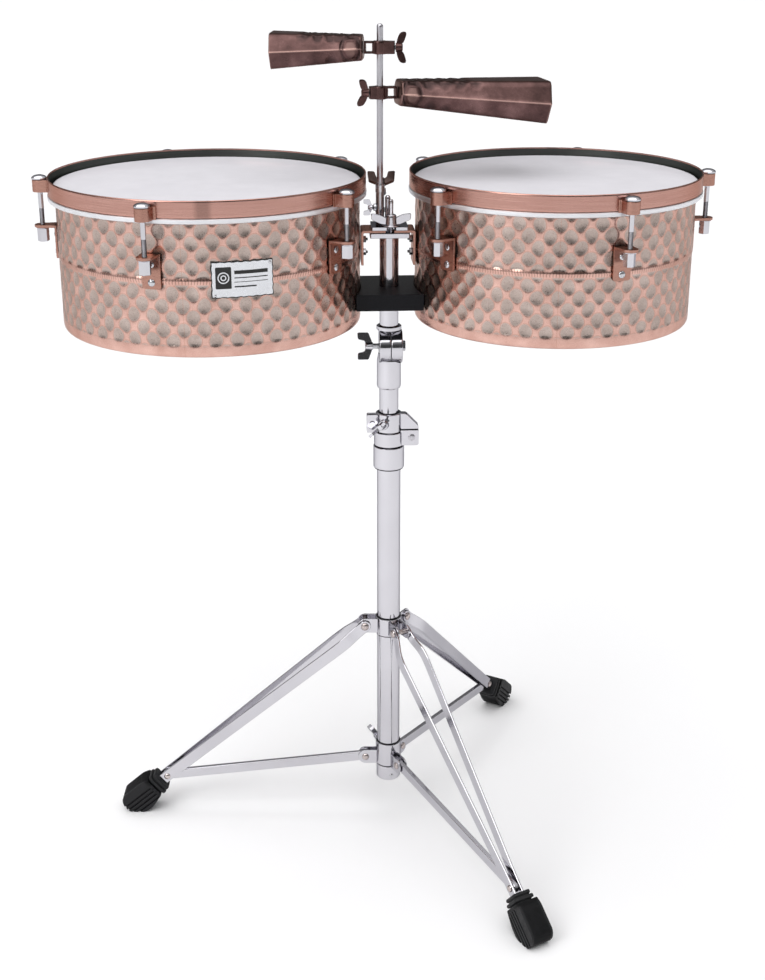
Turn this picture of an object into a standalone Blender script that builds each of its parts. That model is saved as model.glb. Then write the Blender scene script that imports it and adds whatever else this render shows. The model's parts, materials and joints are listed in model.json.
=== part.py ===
"""Timbales: two hammered steel drums on a folding tripod stand, with two cowbells on a rod.

Metres, +Z up, floor at Z = 0. Everything is laid out about the stand's own axis, an empty that is
set off the origin so that the whole object's box is centred on the origin. Front is -Y.
"""

import math

import bmesh
import bpy
from mathutils import Matrix, Vector

# The stand's axis in the part's frame.
STAND_X = 0.0149
STAND_Y = 0.0094

GAP = 0.0003  # clearance between two solids that touch in reality
COARSE, FINE, DRUM_STEPS = 12, 20, 60  # sides of small, medium and drum-sized round pieces

# Drums: hoop, head and shell heights.
HOOP_TOP_Z = 0.9307
HOOP_HEIGHT = 0.0205
HOOP_WALL = 0.0020
FLESH_HOOP_HEIGHT = 0.0066
HEAD_Z = 0.9207
HEAD_FILM = 0.0010
SHELL_BOTTOM_Z = 0.7437
SHELL_WALL = 0.0015
BEAD_Z = 0.8350
BEAD_RISE = 0.0006
DRUMS = {
    "left": {"x": -0.2280, "shell_r": 0.1905, "hoop_r": 0.1985, "first_lug": 180.0, "inward": 1.0},
    "right": {"x": 0.2113, "shell_r": 0.1778, "hoop_r": 0.1854, "first_lug": 0.0, "inward": -1.0},
}

# Tension hardware, heights below the hoop's top.
LUGS = 5
LUG_STEP_DEG = 360.0 / LUGS
ROD_OFFSET = 0.0115  # rod axis outside the hoop
ROD_R = 0.0032
ROD_HOLE_R = 0.0036
EAR_R = 0.0100
EAR_DROP = (0.0065, 0.0225)
TAB_DROP = (0.0630, 0.0662)
NUT_DROP = 0.0845
LUG_BOTTOM_DROP = 0.1050
LUG_WIDTH = 0.0235
LUG_PLATE = 0.0025
LUG_STANDOFF = 0.0010

# Tripod: pivots, angles from the vertical, strips.
LEG_BEARINGS = {"left": 177.0, "front": 297.0, "back": 57.0}
PIVOT_R = 0.0330
LEG_PIVOT_Z = 0.2985
BRACE_PIVOT_Z = 0.0865
FOOT_RIVET_R = 0.3225
FOOT_RIVET_Z = 0.0545
STRIP_WIDTH = 0.0160
STRIP_THICKNESS = 0.0024
STRIP_TOP_Y, STRIP_BEND_Y, STRIP_FOOT_Y = 0.0111, 0.0200, 0.0056
BRACE_HEIGHT = 0.0140
BRACE_THICKNESS = 0.0066
BOOT_WIDTH = 0.0330
BOOT_START = 0.0100  # from the foot rivet along the leg

# Stand tubes.
BASE_TUBE_R, BASE_BORE_R = 0.0159, 0.0144
BASE_CAP_R = 0.0172
BASE_BOTTOM_Z, BASE_CAP_TOP_Z, BASE_TOP_Z = 0.0528, 0.0756, 0.5850
INNER_TUBE_R, INNER_BORE_R = 0.0127, 0.0111
INNER_BOTTOM_Z = 0.3000
CLAMP_BOTTOM_Z, CLAMP_TOP_Z = 0.5340, 0.6110
CLAMP_SCREW_Z = 0.5985
CLAMP_SCREW_AXIS = (-0.40, -0.917, 0.0)
COLLAR_R = 0.0182

# Tilter.
TILT_Z = 0.7020
TILT_DISC_R = 0.0222
TILT_SPLIT_X = 0.0020
TILT_DISC_THICKNESS = 0.0150
LOWER_SLEEVE_R, UPPER_SLEEVE_R = 0.0158, 0.0165
LOWER_SLEEVE_Z, UPPER_SLEEVE_Z = 0.6455, 0.7305
TILT_BOLT_R = 0.0035

# Centre post and the clamp for the drum brackets.
POST_R, POST_BORE_R = 0.0123, 0.0108
POST_BOTTOM_Z = 0.7262
PLATE_BOTTOM_Z, PLATE_TOP_Z = 0.8490, 0.8548
PLATE_HALF_X, PLATE_HALF_Y = 0.0255, 0.0240
FLANGE_THICKNESS = 0.0032
FLANGE_END_X = 0.0054
PRESSURE_THICKNESS = 0.0040
STUD_R = 0.0030
STUD_TOP_Z = 0.8970
STUD_X, STUD_Y = 0.0017, -0.0130
BLOCK_BOTTOM_Z, BLOCK_TOP_Z = 0.7625, 0.7837
BLOCK_HALF_Y = 0.0550

# Bell rod and bells.
ROD_X, ROD_Y = -0.0108, 0.0160
BELL_ROD_R = 0.0040
BELL_ROD_TOP_Z = 1.1080
HOLDER_R = 0.0058
HOLDER_TOP_Z = 0.9120
HOLDER_SCREW_Z = 0.8815
ROD_SCREW_AXIS = (0.0, math.sqrt(0.5), math.sqrt(0.5))  # behind the sleeve, up and back
ROD_SCREW_FOOT = (-0.0079, ROD_Y, 0.8955)
BELL_WALL = 0.0016
BELLS = {
    "small": {
        "z": 1.0795, "bearing": 173.3, "droop": 1.8, "start": 0.0205, "length": 0.1135,
        "block_end": 0.0185, "closed": (0.0155, 0.0200, 0.0270), "mouth": (0.0215, 0.0290, 0.0400),
    },
    "large": {
        "z": 1.0250, "bearing": 8.0, "droop": 4.2, "start": 0.0220, "length": 0.1890,
        "block_end": 0.0135, "closed": (0.0158, 0.0210, 0.0290), "mouth": (0.0262, 0.0350, 0.0470),
    },
}

LEG_RUN = FOOT_RIVET_R - PIVOT_R
LEG_LENGTH = math.hypot(LEG_RUN, LEG_PIVOT_Z - FOOT_RIVET_Z)
LEG_ANGLE = math.atan2(LEG_RUN, LEG_PIVOT_Z - FOOT_RIVET_Z)
BRACE_LENGTH = math.hypot(LEG_RUN, BRACE_PIVOT_Z - FOOT_RIVET_Z)
BRACE_ANGLE = math.atan2(LEG_RUN, BRACE_PIVOT_Z - FOOT_RIVET_Z)
COLLAR_TRAVEL = LEG_PIVOT_Z - LEG_LENGTH + BRACE_LENGTH - BRACE_PIVOT_Z

# Colours: base colour, roughness, metallic.
CHROME = ((0.80, 0.80, 0.82), 0.12, 1.0)
ZINC = ((0.66, 0.66, 0.68), 0.30, 1.0)
COPPER = ((0.62, 0.36, 0.27), 0.32, 1.0)
DARK_COPPER = ((0.38, 0.22, 0.18), 0.38, 1.0)
ALUMINIUM = ((0.82, 0.82, 0.84), 0.35, 1.0)
FILM = ((0.88, 0.88, 0.90), 0.30, 0.0)
RUBBER = ((0.030, 0.030, 0.032), 0.70, 0.0)

UPRIGHT = Matrix.Rotation(math.radians(90.0), 4, "X")
EMPTIES = {}


def parts():
    return bpy.data.collections["timbales"]


def cutters():
    return bpy.data.collections["cutters"]


def clear_scene():
    for obj in list(bpy.data.objects):
        bpy.data.objects.remove(obj)
    for name in ("timbales", "cutters"):
        bpy.context.scene.collection.children.link(bpy.data.collections.new(name))


def material(name, look):
    """A Principled material of the node's own."""
    colour, roughness, metallic = look
    made = bpy.data.materials.new(name)
    made.use_nodes = True
    shader = made.node_tree.nodes["Principled BSDF"]
    shader.inputs["Base Color"].default_value = (*colour, 1.0)
    shader.inputs["Roughness"].default_value = roughness
    shader.inputs["Metallic"].default_value = metallic
    return made


def empty(name, location, parent=None, rotation=(0.0, 0.0, 0.0)):
    made = bpy.data.objects.new(name, None)
    made.empty_display_size = 0.03
    made.location = location
    made.rotation_euler = rotation
    made.parent = parent
    parts().objects.link(made)
    EMPTIES[name] = made
    return made


def piece(name, mesh, look, parent, location=(0.0, 0.0, 0.0), rotation=(0.0, 0.0, 0.0)):
    """One node: an object of its own, which may share its mesh with another."""
    made = bpy.data.objects.new(name, mesh)
    made.data.materials.clear()
    made.data.materials.append(material(name, look))
    made.location = location
    made.rotation_euler = rotation
    made.parent = parent
    parts().objects.link(made)
    return made


def smooth(mesh):
    mesh.shade_smooth()
    mesh.set_sharp_from_angle(angle=math.radians(35.0))
    return mesh


def mesh_from(bm, name):
    mesh = bpy.data.meshes.new(name)
    bm.to_mesh(mesh)
    bm.free()
    return mesh


def box(size, centre):
    bm = bmesh.new()
    bmesh.ops.create_cube(bm, size=1.0)
    bmesh.ops.scale(bm, vec=size, verts=bm.verts)
    bmesh.ops.translate(bm, vec=centre, verts=bm.verts)
    return mesh_from(bm, "box")


def rod(radius, low, high, sides=COARSE, matrix=None):
    """A cylinder along Z from low to high, then moved by the matrix."""
    bm = bmesh.new()
    bmesh.ops.create_cone(
        bm, cap_ends=True, segments=sides, radius1=radius, radius2=radius, depth=high - low
    )
    bmesh.ops.translate(bm, vec=(0.0, 0.0, (low + high) / 2.0), verts=bm.verts)
    mesh = mesh_from(bm, "rod")
    if matrix is not None:
        mesh.transform(matrix)
    return mesh


def evaluated_mesh(obj):
    bpy.context.view_layer.update()
    graph = bpy.context.evaluated_depsgraph_get()
    mesh = bpy.data.meshes.new_from_object(obj.evaluated_get(graph))
    bm = bmesh.new()
    bm.from_mesh(mesh)
    bmesh.ops.remove_doubles(bm, verts=bm.verts, dist=1e-6)
    bmesh.ops.recalc_face_normals(bm, faces=bm.faces)
    bm.to_mesh(mesh)
    bm.free()
    return mesh


def turned(profile, sides=FINE, closed=False):
    """A profile in X-Z, run down its outer side, turned about Z with a Screw modifier."""
    bm = bmesh.new()
    points = [bm.verts.new((x, 0.0, z)) for x, z in profile]
    for first, second in zip(points, points[1:] + points[:1] if closed else points[1:]):
        bm.edges.new((first, second))
    guide = bpy.data.objects.new("profile", mesh_from(bm, "profile"))
    cutters().objects.link(guide)
    screw = guide.modifiers.new("turn", "SCREW")
    screw.steps = sides
    screw.render_steps = sides
    screw.use_merge_vertices = True
    screw.merge_threshold = 0.00001
    mesh = evaluated_mesh(guide)
    bpy.data.objects.remove(guide)
    return mesh


def outline(points, thickness, matrix=None):
    """A flat outline in X-Y, extruded half its thickness each way along Z."""
    curve = bpy.data.curves.new("outline", "CURVE")
    curve.dimensions = "2D"
    curve.fill_mode = "BOTH"
    curve.extrude = thickness / 2.0
    spline = curve.splines.new("POLY")
    spline.points.add(len(points) - 1)
    for point, (x, y) in zip(spline.points, points):
        point.co = (x, y, 0.0, 1.0)
    spline.use_cyclic_u = True
    guide = bpy.data.objects.new("outline", curve)
    cutters().objects.link(guide)
    mesh = evaluated_mesh(guide)
    bpy.data.objects.remove(guide)
    if matrix is not None:
        mesh.transform(matrix)
    return mesh


def arc(centre, radius, start, end, count):
    """Points on a circle, angles in degrees."""
    x, y = centre
    turns = [math.radians(start + (end - start) * i / count) for i in range(count + 1)]
    return [(x + radius * math.cos(a), y + radius * math.sin(a)) for a in turns]


def moved(mesh, matrix):
    copy = mesh.copy()
    copy.transform(matrix)
    return copy


def combined(base, joined=(), cut=()):
    """One closed mesh from a base, with shapes joined to it and then shapes cut from it."""
    holder = bpy.data.objects.new("base", base)
    cutters().objects.link(holder)
    helpers = []
    for operation, shapes in (("UNION", joined), ("DIFFERENCE", cut)):
        for shape in shapes:
            helper = bpy.data.objects.new("tool", shape)
            helper.hide_render = True
            helper.display_type = "WIRE"
            cutters().objects.link(helper)
            helpers.append(helper)
            modifier = holder.modifiers.new(operation.lower(), "BOOLEAN")
            modifier.operation = operation
            modifier.solver = "EXACT"
            modifier.object = helper
    mesh = evaluated_mesh(holder)
    for helper in [*helpers, holder]:
        bpy.data.objects.remove(helper)
    return mesh


def about_z(degrees):
    return Matrix.Rotation(math.radians(degrees), 4, "Z")


def shift(x, y, z):
    return Matrix.Translation((x, y, z))


def axis_matrix(origin, direction, spin=0.0):
    """A frame at origin whose Z runs along direction, turned by spin degrees about it."""
    turn = Vector(direction).to_track_quat("Z", "Y").to_matrix().to_4x4()
    return Matrix.Translation(origin) @ turn @ about_z(spin)


# ---------------------------------------------------------------- fasteners


def wing_outline(half_span, hub, low, high, root):
    """A bow tie seen along the wings' flat: low and high are the tips' heights above the hub's foot."""
    right = [(hub, 0.0), (half_span * 0.86, low), (half_span, low + (high - low) * 0.3)]
    right += [(half_span * 0.97, high), (half_span * 0.72, high * 0.97), (hub, root)]
    left = [(-x, y) for x, y in reversed(right)]
    return right + left


def wing_piece(half_span, hub_r, hub_high, tips, wing_thickness, shaft_r=0.0, shaft=0.0, bore_r=0.0):
    """A wing bolt or wing nut along Z: hub from 0 up, two wings, and a shaft down or a bore."""
    hub = rod(hub_r, 0.0, hub_high, COARSE)
    low, high = tips
    outline_points = wing_outline(half_span, hub_r * 0.7, low, high, hub_high * 0.82)
    wings = outline(outline_points, wing_thickness, shift(0.0, 0.0, hub_high * 0.08) @ UPRIGHT)
    joined = [wings]
    if shaft > 0.0:
        joined.append(rod(shaft_r, -shaft, hub_high * 0.5, COARSE))
    cut = [rod(bore_r, -0.01, hub_high + 0.01, COARSE)] if bore_r > 0.0 else []
    return smooth(combined(hub, joined, cut))


# ---------------------------------------------------------------- tripod


def collar_ear(pivot_z, thickness, middle, radius=0.0105):
    """One ear plate of a collar's clevis, in the collar's radial plane."""
    points = [(0.0165, pivot_z - radius)]
    points += arc((PIVOT_R, pivot_z), radius, -90.0, 90.0, 8)
    points += [(0.0165, pivot_z + radius)]
    return outline(points, thickness, shift(0.0, middle, 0.0) @ UPRIGHT)


def leg_collar(low, high, pivot_z, ear_outer, ear_thickness, extra=()):
    """A ring round the base tube with a two-eared clevis at each leg's bearing."""
    inner = BASE_TUBE_R + GAP
    ring = turned(
        [(COLLAR_R, high), (COLLAR_R, low), (inner, low), (inner, high)], FINE, closed=True
    )
    ears = []
    for bearing in LEG_BEARINGS.values():
        for side in (1.0, -1.0):
            ear = collar_ear(pivot_z, ear_thickness, side * (ear_outer - ear_thickness / 2.0))
            ears.append(moved(ear, about_z(bearing)))
    return smooth(combined(ring, [*ears, *extra]))


def make_leg_mesh():
    """Two strips that part below the collar and meet at the foot, as one outline seen from above."""
    half = STRIP_THICKNESS / 2.0
    top = -LEG_LENGTH
    stations = [
        (top - 0.0080, STRIP_TOP_Y),
        (top + 0.0120, STRIP_TOP_Y),
        (top + 0.0380, STRIP_BEND_Y),
        (-0.0120, STRIP_FOOT_Y),
    ]
    end, bridge = BOOT_START - GAP, BOOT_START - 0.0024
    outer = [(s, y + half) for s, y in stations] + [(end, STRIP_FOOT_Y + half)]
    inner = [(s, y - half) for s, y in stations] + [(bridge, STRIP_FOOT_Y - half)]
    points = outer
    points += [(s, -y) for s, y in reversed(outer)]
    points += [(s, -y) for s, y in inner]
    points += list(reversed(inner))
    return outline(points, STRIP_WIDTH)


def make_brace_mesh():
    """A flat bar with round ends, from the collar's pivot along X to the foot rivet."""
    radius = BRACE_HEIGHT / 2.0
    points = arc((0.0, 0.0), radius, 90.0, 270.0, 8)
    points += arc((BRACE_LENGTH, 0.0), radius, -90.0, 90.0, 8)
    return outline(points, BRACE_THICKNESS, UPRIGHT)


def make_boot_mesh():
    """The rubber foot: its side outline in the leg's plane, as wide as the boot, edges rounded."""
    lean = LEG_ANGLE
    along = Vector((math.sin(lean), -math.cos(lean)))
    across = Vector((math.cos(lean), math.sin(lean)))
    rivet = Vector((FOOT_RIVET_R, FOOT_RIVET_Z))
    neck_low = rivet + along * BOOT_START - across * 0.0145
    neck_high = rivet + along * BOOT_START + across * 0.0140
    points = [tuple(neck_low), (0.3300, 0.0310), (0.3430, 0.0100), (0.3550, 0.0)]
    points += [(0.3780, 0.0), (0.3885, 0.0110), (0.3890, 0.0240), (0.3620, 0.0480)]
    points += [tuple(neck_high)]
    bm = bmesh.new()
    bm.from_mesh(outline(points, BOOT_WIDTH, UPRIGHT))
    bmesh.ops.dissolve_limit(bm, angle_limit=0.02, verts=bm.verts, edges=bm.edges)
    sides = [e for e in bm.edges if len({round(v.co.y, 5) for v in e.verts}) == 1]
    sole = [e for e in sides if all(v.co.z < 0.001 for v in e.verts)]
    neck = [e for e in sides if all(abs((Vector((v.co.x, v.co.z)) - rivet).dot(along) - BOOT_START)
                                    < 0.0001 for v in e.verts)]
    rounded = [e for e in sides if e not in sole and e not in neck]
    bmesh.ops.bevel(bm, geom=rounded, offset=0.0035, segments=2, affect="EDGES")
    mesh = mesh_from(bm, "boot")
    mesh.transform(shift(-FOOT_RIVET_R, 0.0, -FOOT_RIVET_Z))
    return smooth(mesh)


def make_tripod(axis):
    base = [(BASE_TUBE_R, BASE_TOP_Z), (BASE_TUBE_R, BASE_CAP_TOP_Z), (BASE_CAP_R, BASE_CAP_TOP_Z)]
    base += [(BASE_CAP_R, BASE_BOTTOM_Z + 0.002), (BASE_CAP_R - 0.002, BASE_BOTTOM_Z)]
    base += [(BASE_BORE_R, BASE_BOTTOM_Z), (BASE_BORE_R, BASE_TOP_Z)]
    piece("base_tube", smooth(turned(base, FINE, closed=True)), CHROME, axis)

    upper = leg_collar(0.2850, 0.3110, LEG_PIVOT_Z, 0.0095, 0.0025)
    piece("upper_leg_collar", upper, CHROME, axis)

    slider = empty("collar_axis", (0.0, 0.0, 0.0), axis)
    screw_bearing = 117.0
    boss_z = 0.1035
    boss = rod(0.0070, 0.0160, 0.0245, COARSE, about_z(screw_bearing)
               @ axis_matrix((0.0, 0.0, boss_z), (1.0, 0.0, 0.0)))
    lower = leg_collar(BASE_CAP_TOP_Z + GAP, 0.1120, BRACE_PIVOT_Z, 0.0062, 0.0020, [boss])
    piece("brace_collar", lower, CHROME, slider)
    screw = wing_piece(0.0150, 0.0055, 0.0090, (0.0035, 0.0125), 0.0030, 0.0030, 0.0010)
    outward = about_z(screw_bearing)
    start = outward @ Vector((0.0245 + 0.0010 + GAP, 0.0, boss_z))
    turn = axis_matrix(start, outward @ Vector((1.0, 0.0, 0.0)), 60.0)
    piece("collar_wing_screw", screw, CHROME, slider, turn.to_translation(), turn.to_euler())

    leg_mesh, brace_mesh, boot_mesh = make_leg_mesh(), make_brace_mesh(), make_boot_mesh()
    for name, bearing in LEG_BEARINGS.items():
        plane = empty(f"{name}_leg_plane", (0.0, 0.0, 0.0), axis, (0.0, 0.0, math.radians(bearing)))
        lean = (0.0, math.radians(90.0) - BRACE_ANGLE, 0.0)
        piece(f"{name}_brace", brace_mesh.copy(), CHROME, plane, (PIVOT_R, 0.0, BRACE_PIVOT_Z), lean)
        knee = empty(f"{name}_foot_rivet", (FOOT_RIVET_R, 0.0, FOOT_RIVET_Z), plane)
        lean = (0.0, math.radians(90.0) - LEG_ANGLE, 0.0)
        piece(f"{name}_leg", leg_mesh.copy(), CHROME, knee, (0.0, 0.0, 0.0), lean)
        piece(f"{name}_foot", boot_mesh.copy(), RUBBER, knee)


# ---------------------------------------------------------------- mast and tilter


def make_height_clamp(axis):
    """A stepped casting over the base tube's top, with a hinge ear to the right."""
    step = 0.5880
    screw_axis = axis_matrix((0.0, 0.0, CLAMP_SCREW_Z), CLAMP_SCREW_AXIS)
    tube, mast = BASE_TUBE_R + GAP, INNER_TUBE_R + GAP
    profile = [(0.0160, CLAMP_TOP_Z), (0.0175, CLAMP_TOP_Z - 0.004), (0.0175, 0.5905)]
    profile += [(0.0198, 0.5890), (0.0198, 0.5660), (0.0172, 0.5650), (0.0172, CLAMP_BOTTOM_Z)]
    profile += [(tube, CLAMP_BOTTOM_Z), (tube, step), (mast, step), (mast, CLAMP_TOP_Z)]
    body = turned(profile, FINE, closed=True)
    ear_points = [(0.0170, 0.5665), (0.0385, 0.5665), (0.0400, 0.5690), (0.0400, 0.5990)]
    ear_points += [(0.0240, 0.6095), (0.0170, 0.6095)]
    ear = outline(ear_points, 0.0110, UPRIGHT)
    pad = box((0.0140, 0.0200, 0.0240), (-0.0215, -0.0060, 0.5990))
    boss = rod(0.0070, 0.0155, 0.0225, COARSE, screw_axis)
    clamp = combined(body, [ear, pad, boss])
    piece("height_clamp", smooth(clamp), CHROME, axis)
    bolt = wing_piece(0.0175, 0.0052, 0.0090, (0.0035, 0.0130), 0.0034, 0.0030, 0.0008)
    start = screw_axis @ Vector((0.0, 0.0, 0.0225 + 0.0008 + GAP))
    turn = Matrix.Translation(start) @ screw_axis.to_3x3().to_4x4() @ about_z(45.0)
    piece("clamp_wing_bolt", bolt, CHROME, axis, turn.to_translation(), turn.to_euler())


def tilter_half(side, sleeve, disc_axis):
    """One half of the tilter: a disc beside the split plane, joined to its sleeve."""
    near = TILT_SPLIT_X + side * GAP
    far = near + side * TILT_DISC_THICKNESS
    disc = rod(TILT_DISC_R, min(near, far), max(near, far), FINE, disc_axis)
    sleeve_end, beyond = near - side * 0.0001, near - side * 0.0220
    clear = rod(TILT_DISC_R + 0.0008, min(sleeve_end, beyond), max(sleeve_end, beyond), FINE, disc_axis)
    bore = rod(TILT_BOLT_R + 0.0005, -0.04, 0.04, COARSE, disc_axis)
    return smooth(combined(sleeve, [disc], [clear, bore]))


def make_mast(axis):
    inner_top = 0.6740
    tube = turned(
        [(INNER_TUBE_R, inner_top), (INNER_TUBE_R, INNER_BOTTOM_Z), (INNER_BORE_R, INNER_BOTTOM_Z),
         (INNER_BORE_R, inner_top)], FINE, closed=True,
    )
    mast = empty("mast_axis", (0.0, 0.0, 0.0), axis)
    piece("inner_tube", smooth(tube), CHROME, mast)

    across = axis_matrix((0.0, 0.0, 0.0), (1.0, 0.0, 0.0))
    hold = INNER_TUBE_R + GAP
    low = LOWER_SLEEVE_Z - TILT_Z
    lower = turned(
        [(0.0, -0.0120), (LOWER_SLEEVE_R - 0.001, -0.0120), (LOWER_SLEEVE_R, -0.0160),
         (LOWER_SLEEVE_R, low + 0.002), (hold + 0.002, low), (hold, low),
         (hold, inner_top + GAP - TILT_Z), (0.0, inner_top + GAP - TILT_Z)], FINE,
    )
    tilt = empty("tilt_axis", (0.0, 0.0, TILT_Z), axis)
    piece("tilter_base", tilter_half(-1.0, lower, across), CHROME, tilt)

    hold = POST_R + GAP
    seat, top = POST_BOTTOM_Z - GAP - TILT_Z, UPPER_SLEEVE_Z - TILT_Z
    upper = turned(
        [(0.0, seat), (hold, seat), (hold, top), (UPPER_SLEEVE_R, top),
         (UPPER_SLEEVE_R, 0.0170), (UPPER_SLEEVE_R - 0.001, 0.0120), (0.0, 0.0120)], FINE,
    )
    piece("tilter_head", tilter_half(1.0, upper, across), CHROME, tilt)

    shaft = TILT_SPLIT_X + TILT_DISC_THICKNESS + 0.0200 + 0.0010
    bolt = wing_piece(0.0190, 0.0050, 0.0095, (0.0050, 0.0190), 0.0040, TILT_BOLT_R, shaft)
    turn = axis_matrix((-0.0205, 0.0, 0.0), (-1.0, 0.0, 0.0), 86.0)
    piece("tilter_wing_bolt", bolt, CHROME, tilt, turn.to_translation(), turn.to_euler())
    return tilt


# ---------------------------------------------------------------- post and bracket clamp


def make_post(tilt):
    """The centre post with its top plate and the clamping stud, the block and the bell-rod holder."""
    head = empty("post_axis", (0.0, 0.0, -TILT_Z), tilt)
    post = turned(
        [(POST_R, PLATE_BOTTOM_Z + 0.001), (POST_R, POST_BOTTOM_Z), (POST_BORE_R, POST_BOTTOM_Z),
         (POST_BORE_R, PLATE_BOTTOM_Z + 0.001)], FINE, closed=True,
    )
    thickness = PLATE_TOP_Z - PLATE_BOTTOM_Z
    plate = box((2 * PLATE_HALF_X, 2 * PLATE_HALF_Y, thickness),
                (0.0, 0.0, PLATE_BOTTOM_Z + thickness / 2.0))
    stud = rod(STUD_R, PLATE_TOP_Z - 0.002, STUD_TOP_Z, COARSE, shift(STUD_X, STUD_Y, 0.0))
    piece("centre_post", smooth(combined(post, [plate, stud])), CHROME, head)

    edges = []
    for drum, bearing in (("right", 180.0), ("left", 0.0)):
        radius = DRUMS[drum]["shell_r"] + 2 * GAP
        reach = math.degrees(math.asin(BLOCK_HALF_Y / radius))
        edges += arc((DRUMS[drum]["x"], 0.0), radius, bearing + reach, bearing - reach, 8)
    height = BLOCK_TOP_Z - BLOCK_BOTTOM_Z
    block = outline(edges, height, shift(0.0, 0.0, BLOCK_BOTTOM_Z + height / 2.0))
    hole = rod(POST_R + GAP, BLOCK_BOTTOM_Z - 0.01, BLOCK_TOP_Z + 0.01, FINE)
    piece("spacer_block", combined(block, [], [hole]), RUBBER, head)

    low = PLATE_TOP_Z + 2 * GAP + FLANGE_THICKNESS
    high = low + PRESSURE_THICKNESS
    pressure = box((0.0470, 0.0440, PRESSURE_THICKNESS), (0.0, 0.0, (low + high) / 2.0))
    sleeve = rod(HOLDER_R, high - 0.001, HOLDER_TOP_Z, FINE, shift(ROD_X, ROD_Y, 0.0))
    rear_boss = rod(0.0052, 0.0, 0.0120, COARSE, axis_matrix(ROD_SCREW_FOOT, ROD_SCREW_AXIS))
    side_boss = rod(0.0050, 0.0, 0.0085, COARSE,
                    axis_matrix((ROD_X, ROD_Y, HOLDER_SCREW_Z), (-1.0, 0.0, 0.0)))
    dome = turned([(0.0, 0.8970), (0.0026, 0.8960), (0.0036, 0.8935), (0.0036, high - 0.001),
                   (0.0, high - 0.001)], COARSE)
    dome.transform(shift(-0.0008, 0.0165, 0.0))
    bore = rod(BELL_ROD_R + GAP, high, HOLDER_TOP_Z + 0.01, FINE, shift(ROD_X, ROD_Y, 0.0))
    stud_hole = rod(STUD_R + 0.0005, low - 0.01, high + 0.01, COARSE, shift(STUD_X, STUD_Y, 0.0))
    holder = combined(pressure, [sleeve, rear_boss, side_boss, dome], [bore, stud_hole])
    piece("rod_holder", smooth(holder), CHROME, head)

    nut = wing_piece(0.0255, 0.0068, 0.0130, (0.0030, 0.0150), 0.0045, bore_r=STUD_R + 0.0004)
    piece("plate_wing_nut", nut, CHROME, head, (STUD_X, STUD_Y, high + GAP))
    screw = wing_piece(0.0185, 0.0050, 0.0095, (0.0075, 0.0190), 0.0045, 0.0030, 0.0030)
    start = Vector(ROD_SCREW_FOOT) + Vector(ROD_SCREW_AXIS) * (0.0120 + 0.0030 + GAP)
    turn = axis_matrix(start, ROD_SCREW_AXIS, 0.0)
    piece("rod_wing_screw", screw, CHROME, head, turn.to_translation(), turn.to_euler())
    screw = wing_piece(0.0095, 0.0038, 0.0050, (0.0015, 0.0075), 0.0025, 0.0022, 0.0010)
    turn = axis_matrix((ROD_X - 0.0085 - 0.0010 - GAP, ROD_Y, HOLDER_SCREW_Z), (-1.0, 0.0, 0.0), 90.0)
    piece("holder_wing_screw", screw, CHROME, head, turn.to_translation(), turn.to_euler())
    return head


# ---------------------------------------------------------------- drums


def lug_bearing(drum, index):
    return DRUMS[drum]["first_lug"] + index * LUG_STEP_DEG


def make_shell_mesh(radius):
    top, bottom = HEAD_Z - HEAD_FILM - GAP, SHELL_BOTTOM_Z
    outer = [(radius, top), (radius, BEAD_Z + 0.0025), (radius + BEAD_RISE, BEAD_Z)]
    outer += [(radius, BEAD_Z - 0.0025), (radius, bottom + 0.0060), (radius - 0.0020, bottom)]
    inner = [(x - SHELL_WALL, z) for x, z in reversed(outer)]
    return smooth(turned(outer + inner, DRUM_STEPS, closed=True))


def make_head_mesh(shell_r, hoop_r):
    """The film over the shell's edge, and the flesh hoop that it is fixed in."""
    low = HOOP_TOP_Z - HOOP_HEIGHT - GAP - FLESH_HOOP_HEIGHT
    high = low + FLESH_HOOP_HEIGHT
    skirt = shell_r + GAP + HEAD_FILM
    under = HEAD_Z - HEAD_FILM
    profile = [(0.0, HEAD_Z), (skirt - 0.0010, HEAD_Z), (skirt, HEAD_Z - 0.0012), (skirt, high)]
    profile += [(hoop_r, high), (hoop_r, low), (shell_r + GAP, low), (shell_r + GAP, under)]
    profile += [(0.0, under)]
    return smooth(turned(profile, DRUM_STEPS))


def make_hoop_mesh(hoop_r, first_lug):
    low = HOOP_TOP_Z - HOOP_HEIGHT
    ring = turned(
        [(hoop_r, HOOP_TOP_Z), (hoop_r, low), (hoop_r - HOOP_WALL, low),
         (hoop_r - HOOP_WALL, HOOP_TOP_Z)], DRUM_STEPS, closed=True,
    )
    top, bottom = HOOP_TOP_Z - EAR_DROP[0], HOOP_TOP_Z - EAR_DROP[1]
    reach = hoop_r + ROD_OFFSET
    ears = []
    for index in range(LUGS):
        turn = about_z(first_lug + index * LUG_STEP_DEG)
        ear = rod(EAR_R, bottom, top, COARSE + 2, shift(reach, 0.0, 0.0))
        web_low = low + 0.0008
        web = box((0.0080, 0.0150, top - 0.0006 - web_low),
                  (hoop_r + 0.0032, 0.0, (top - 0.0006 + web_low) / 2.0))
        ears += [moved(ear, turn), moved(web, turn)]
    holes = [
        rod(ROD_HOLE_R, bottom - 0.01, top + 0.01, COARSE,
            about_z(first_lug + index * LUG_STEP_DEG) @ shift(reach, 0.0, 0.0))
        for index in range(LUGS)
    ]
    return smooth(combined(ring, ears, holes))


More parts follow.
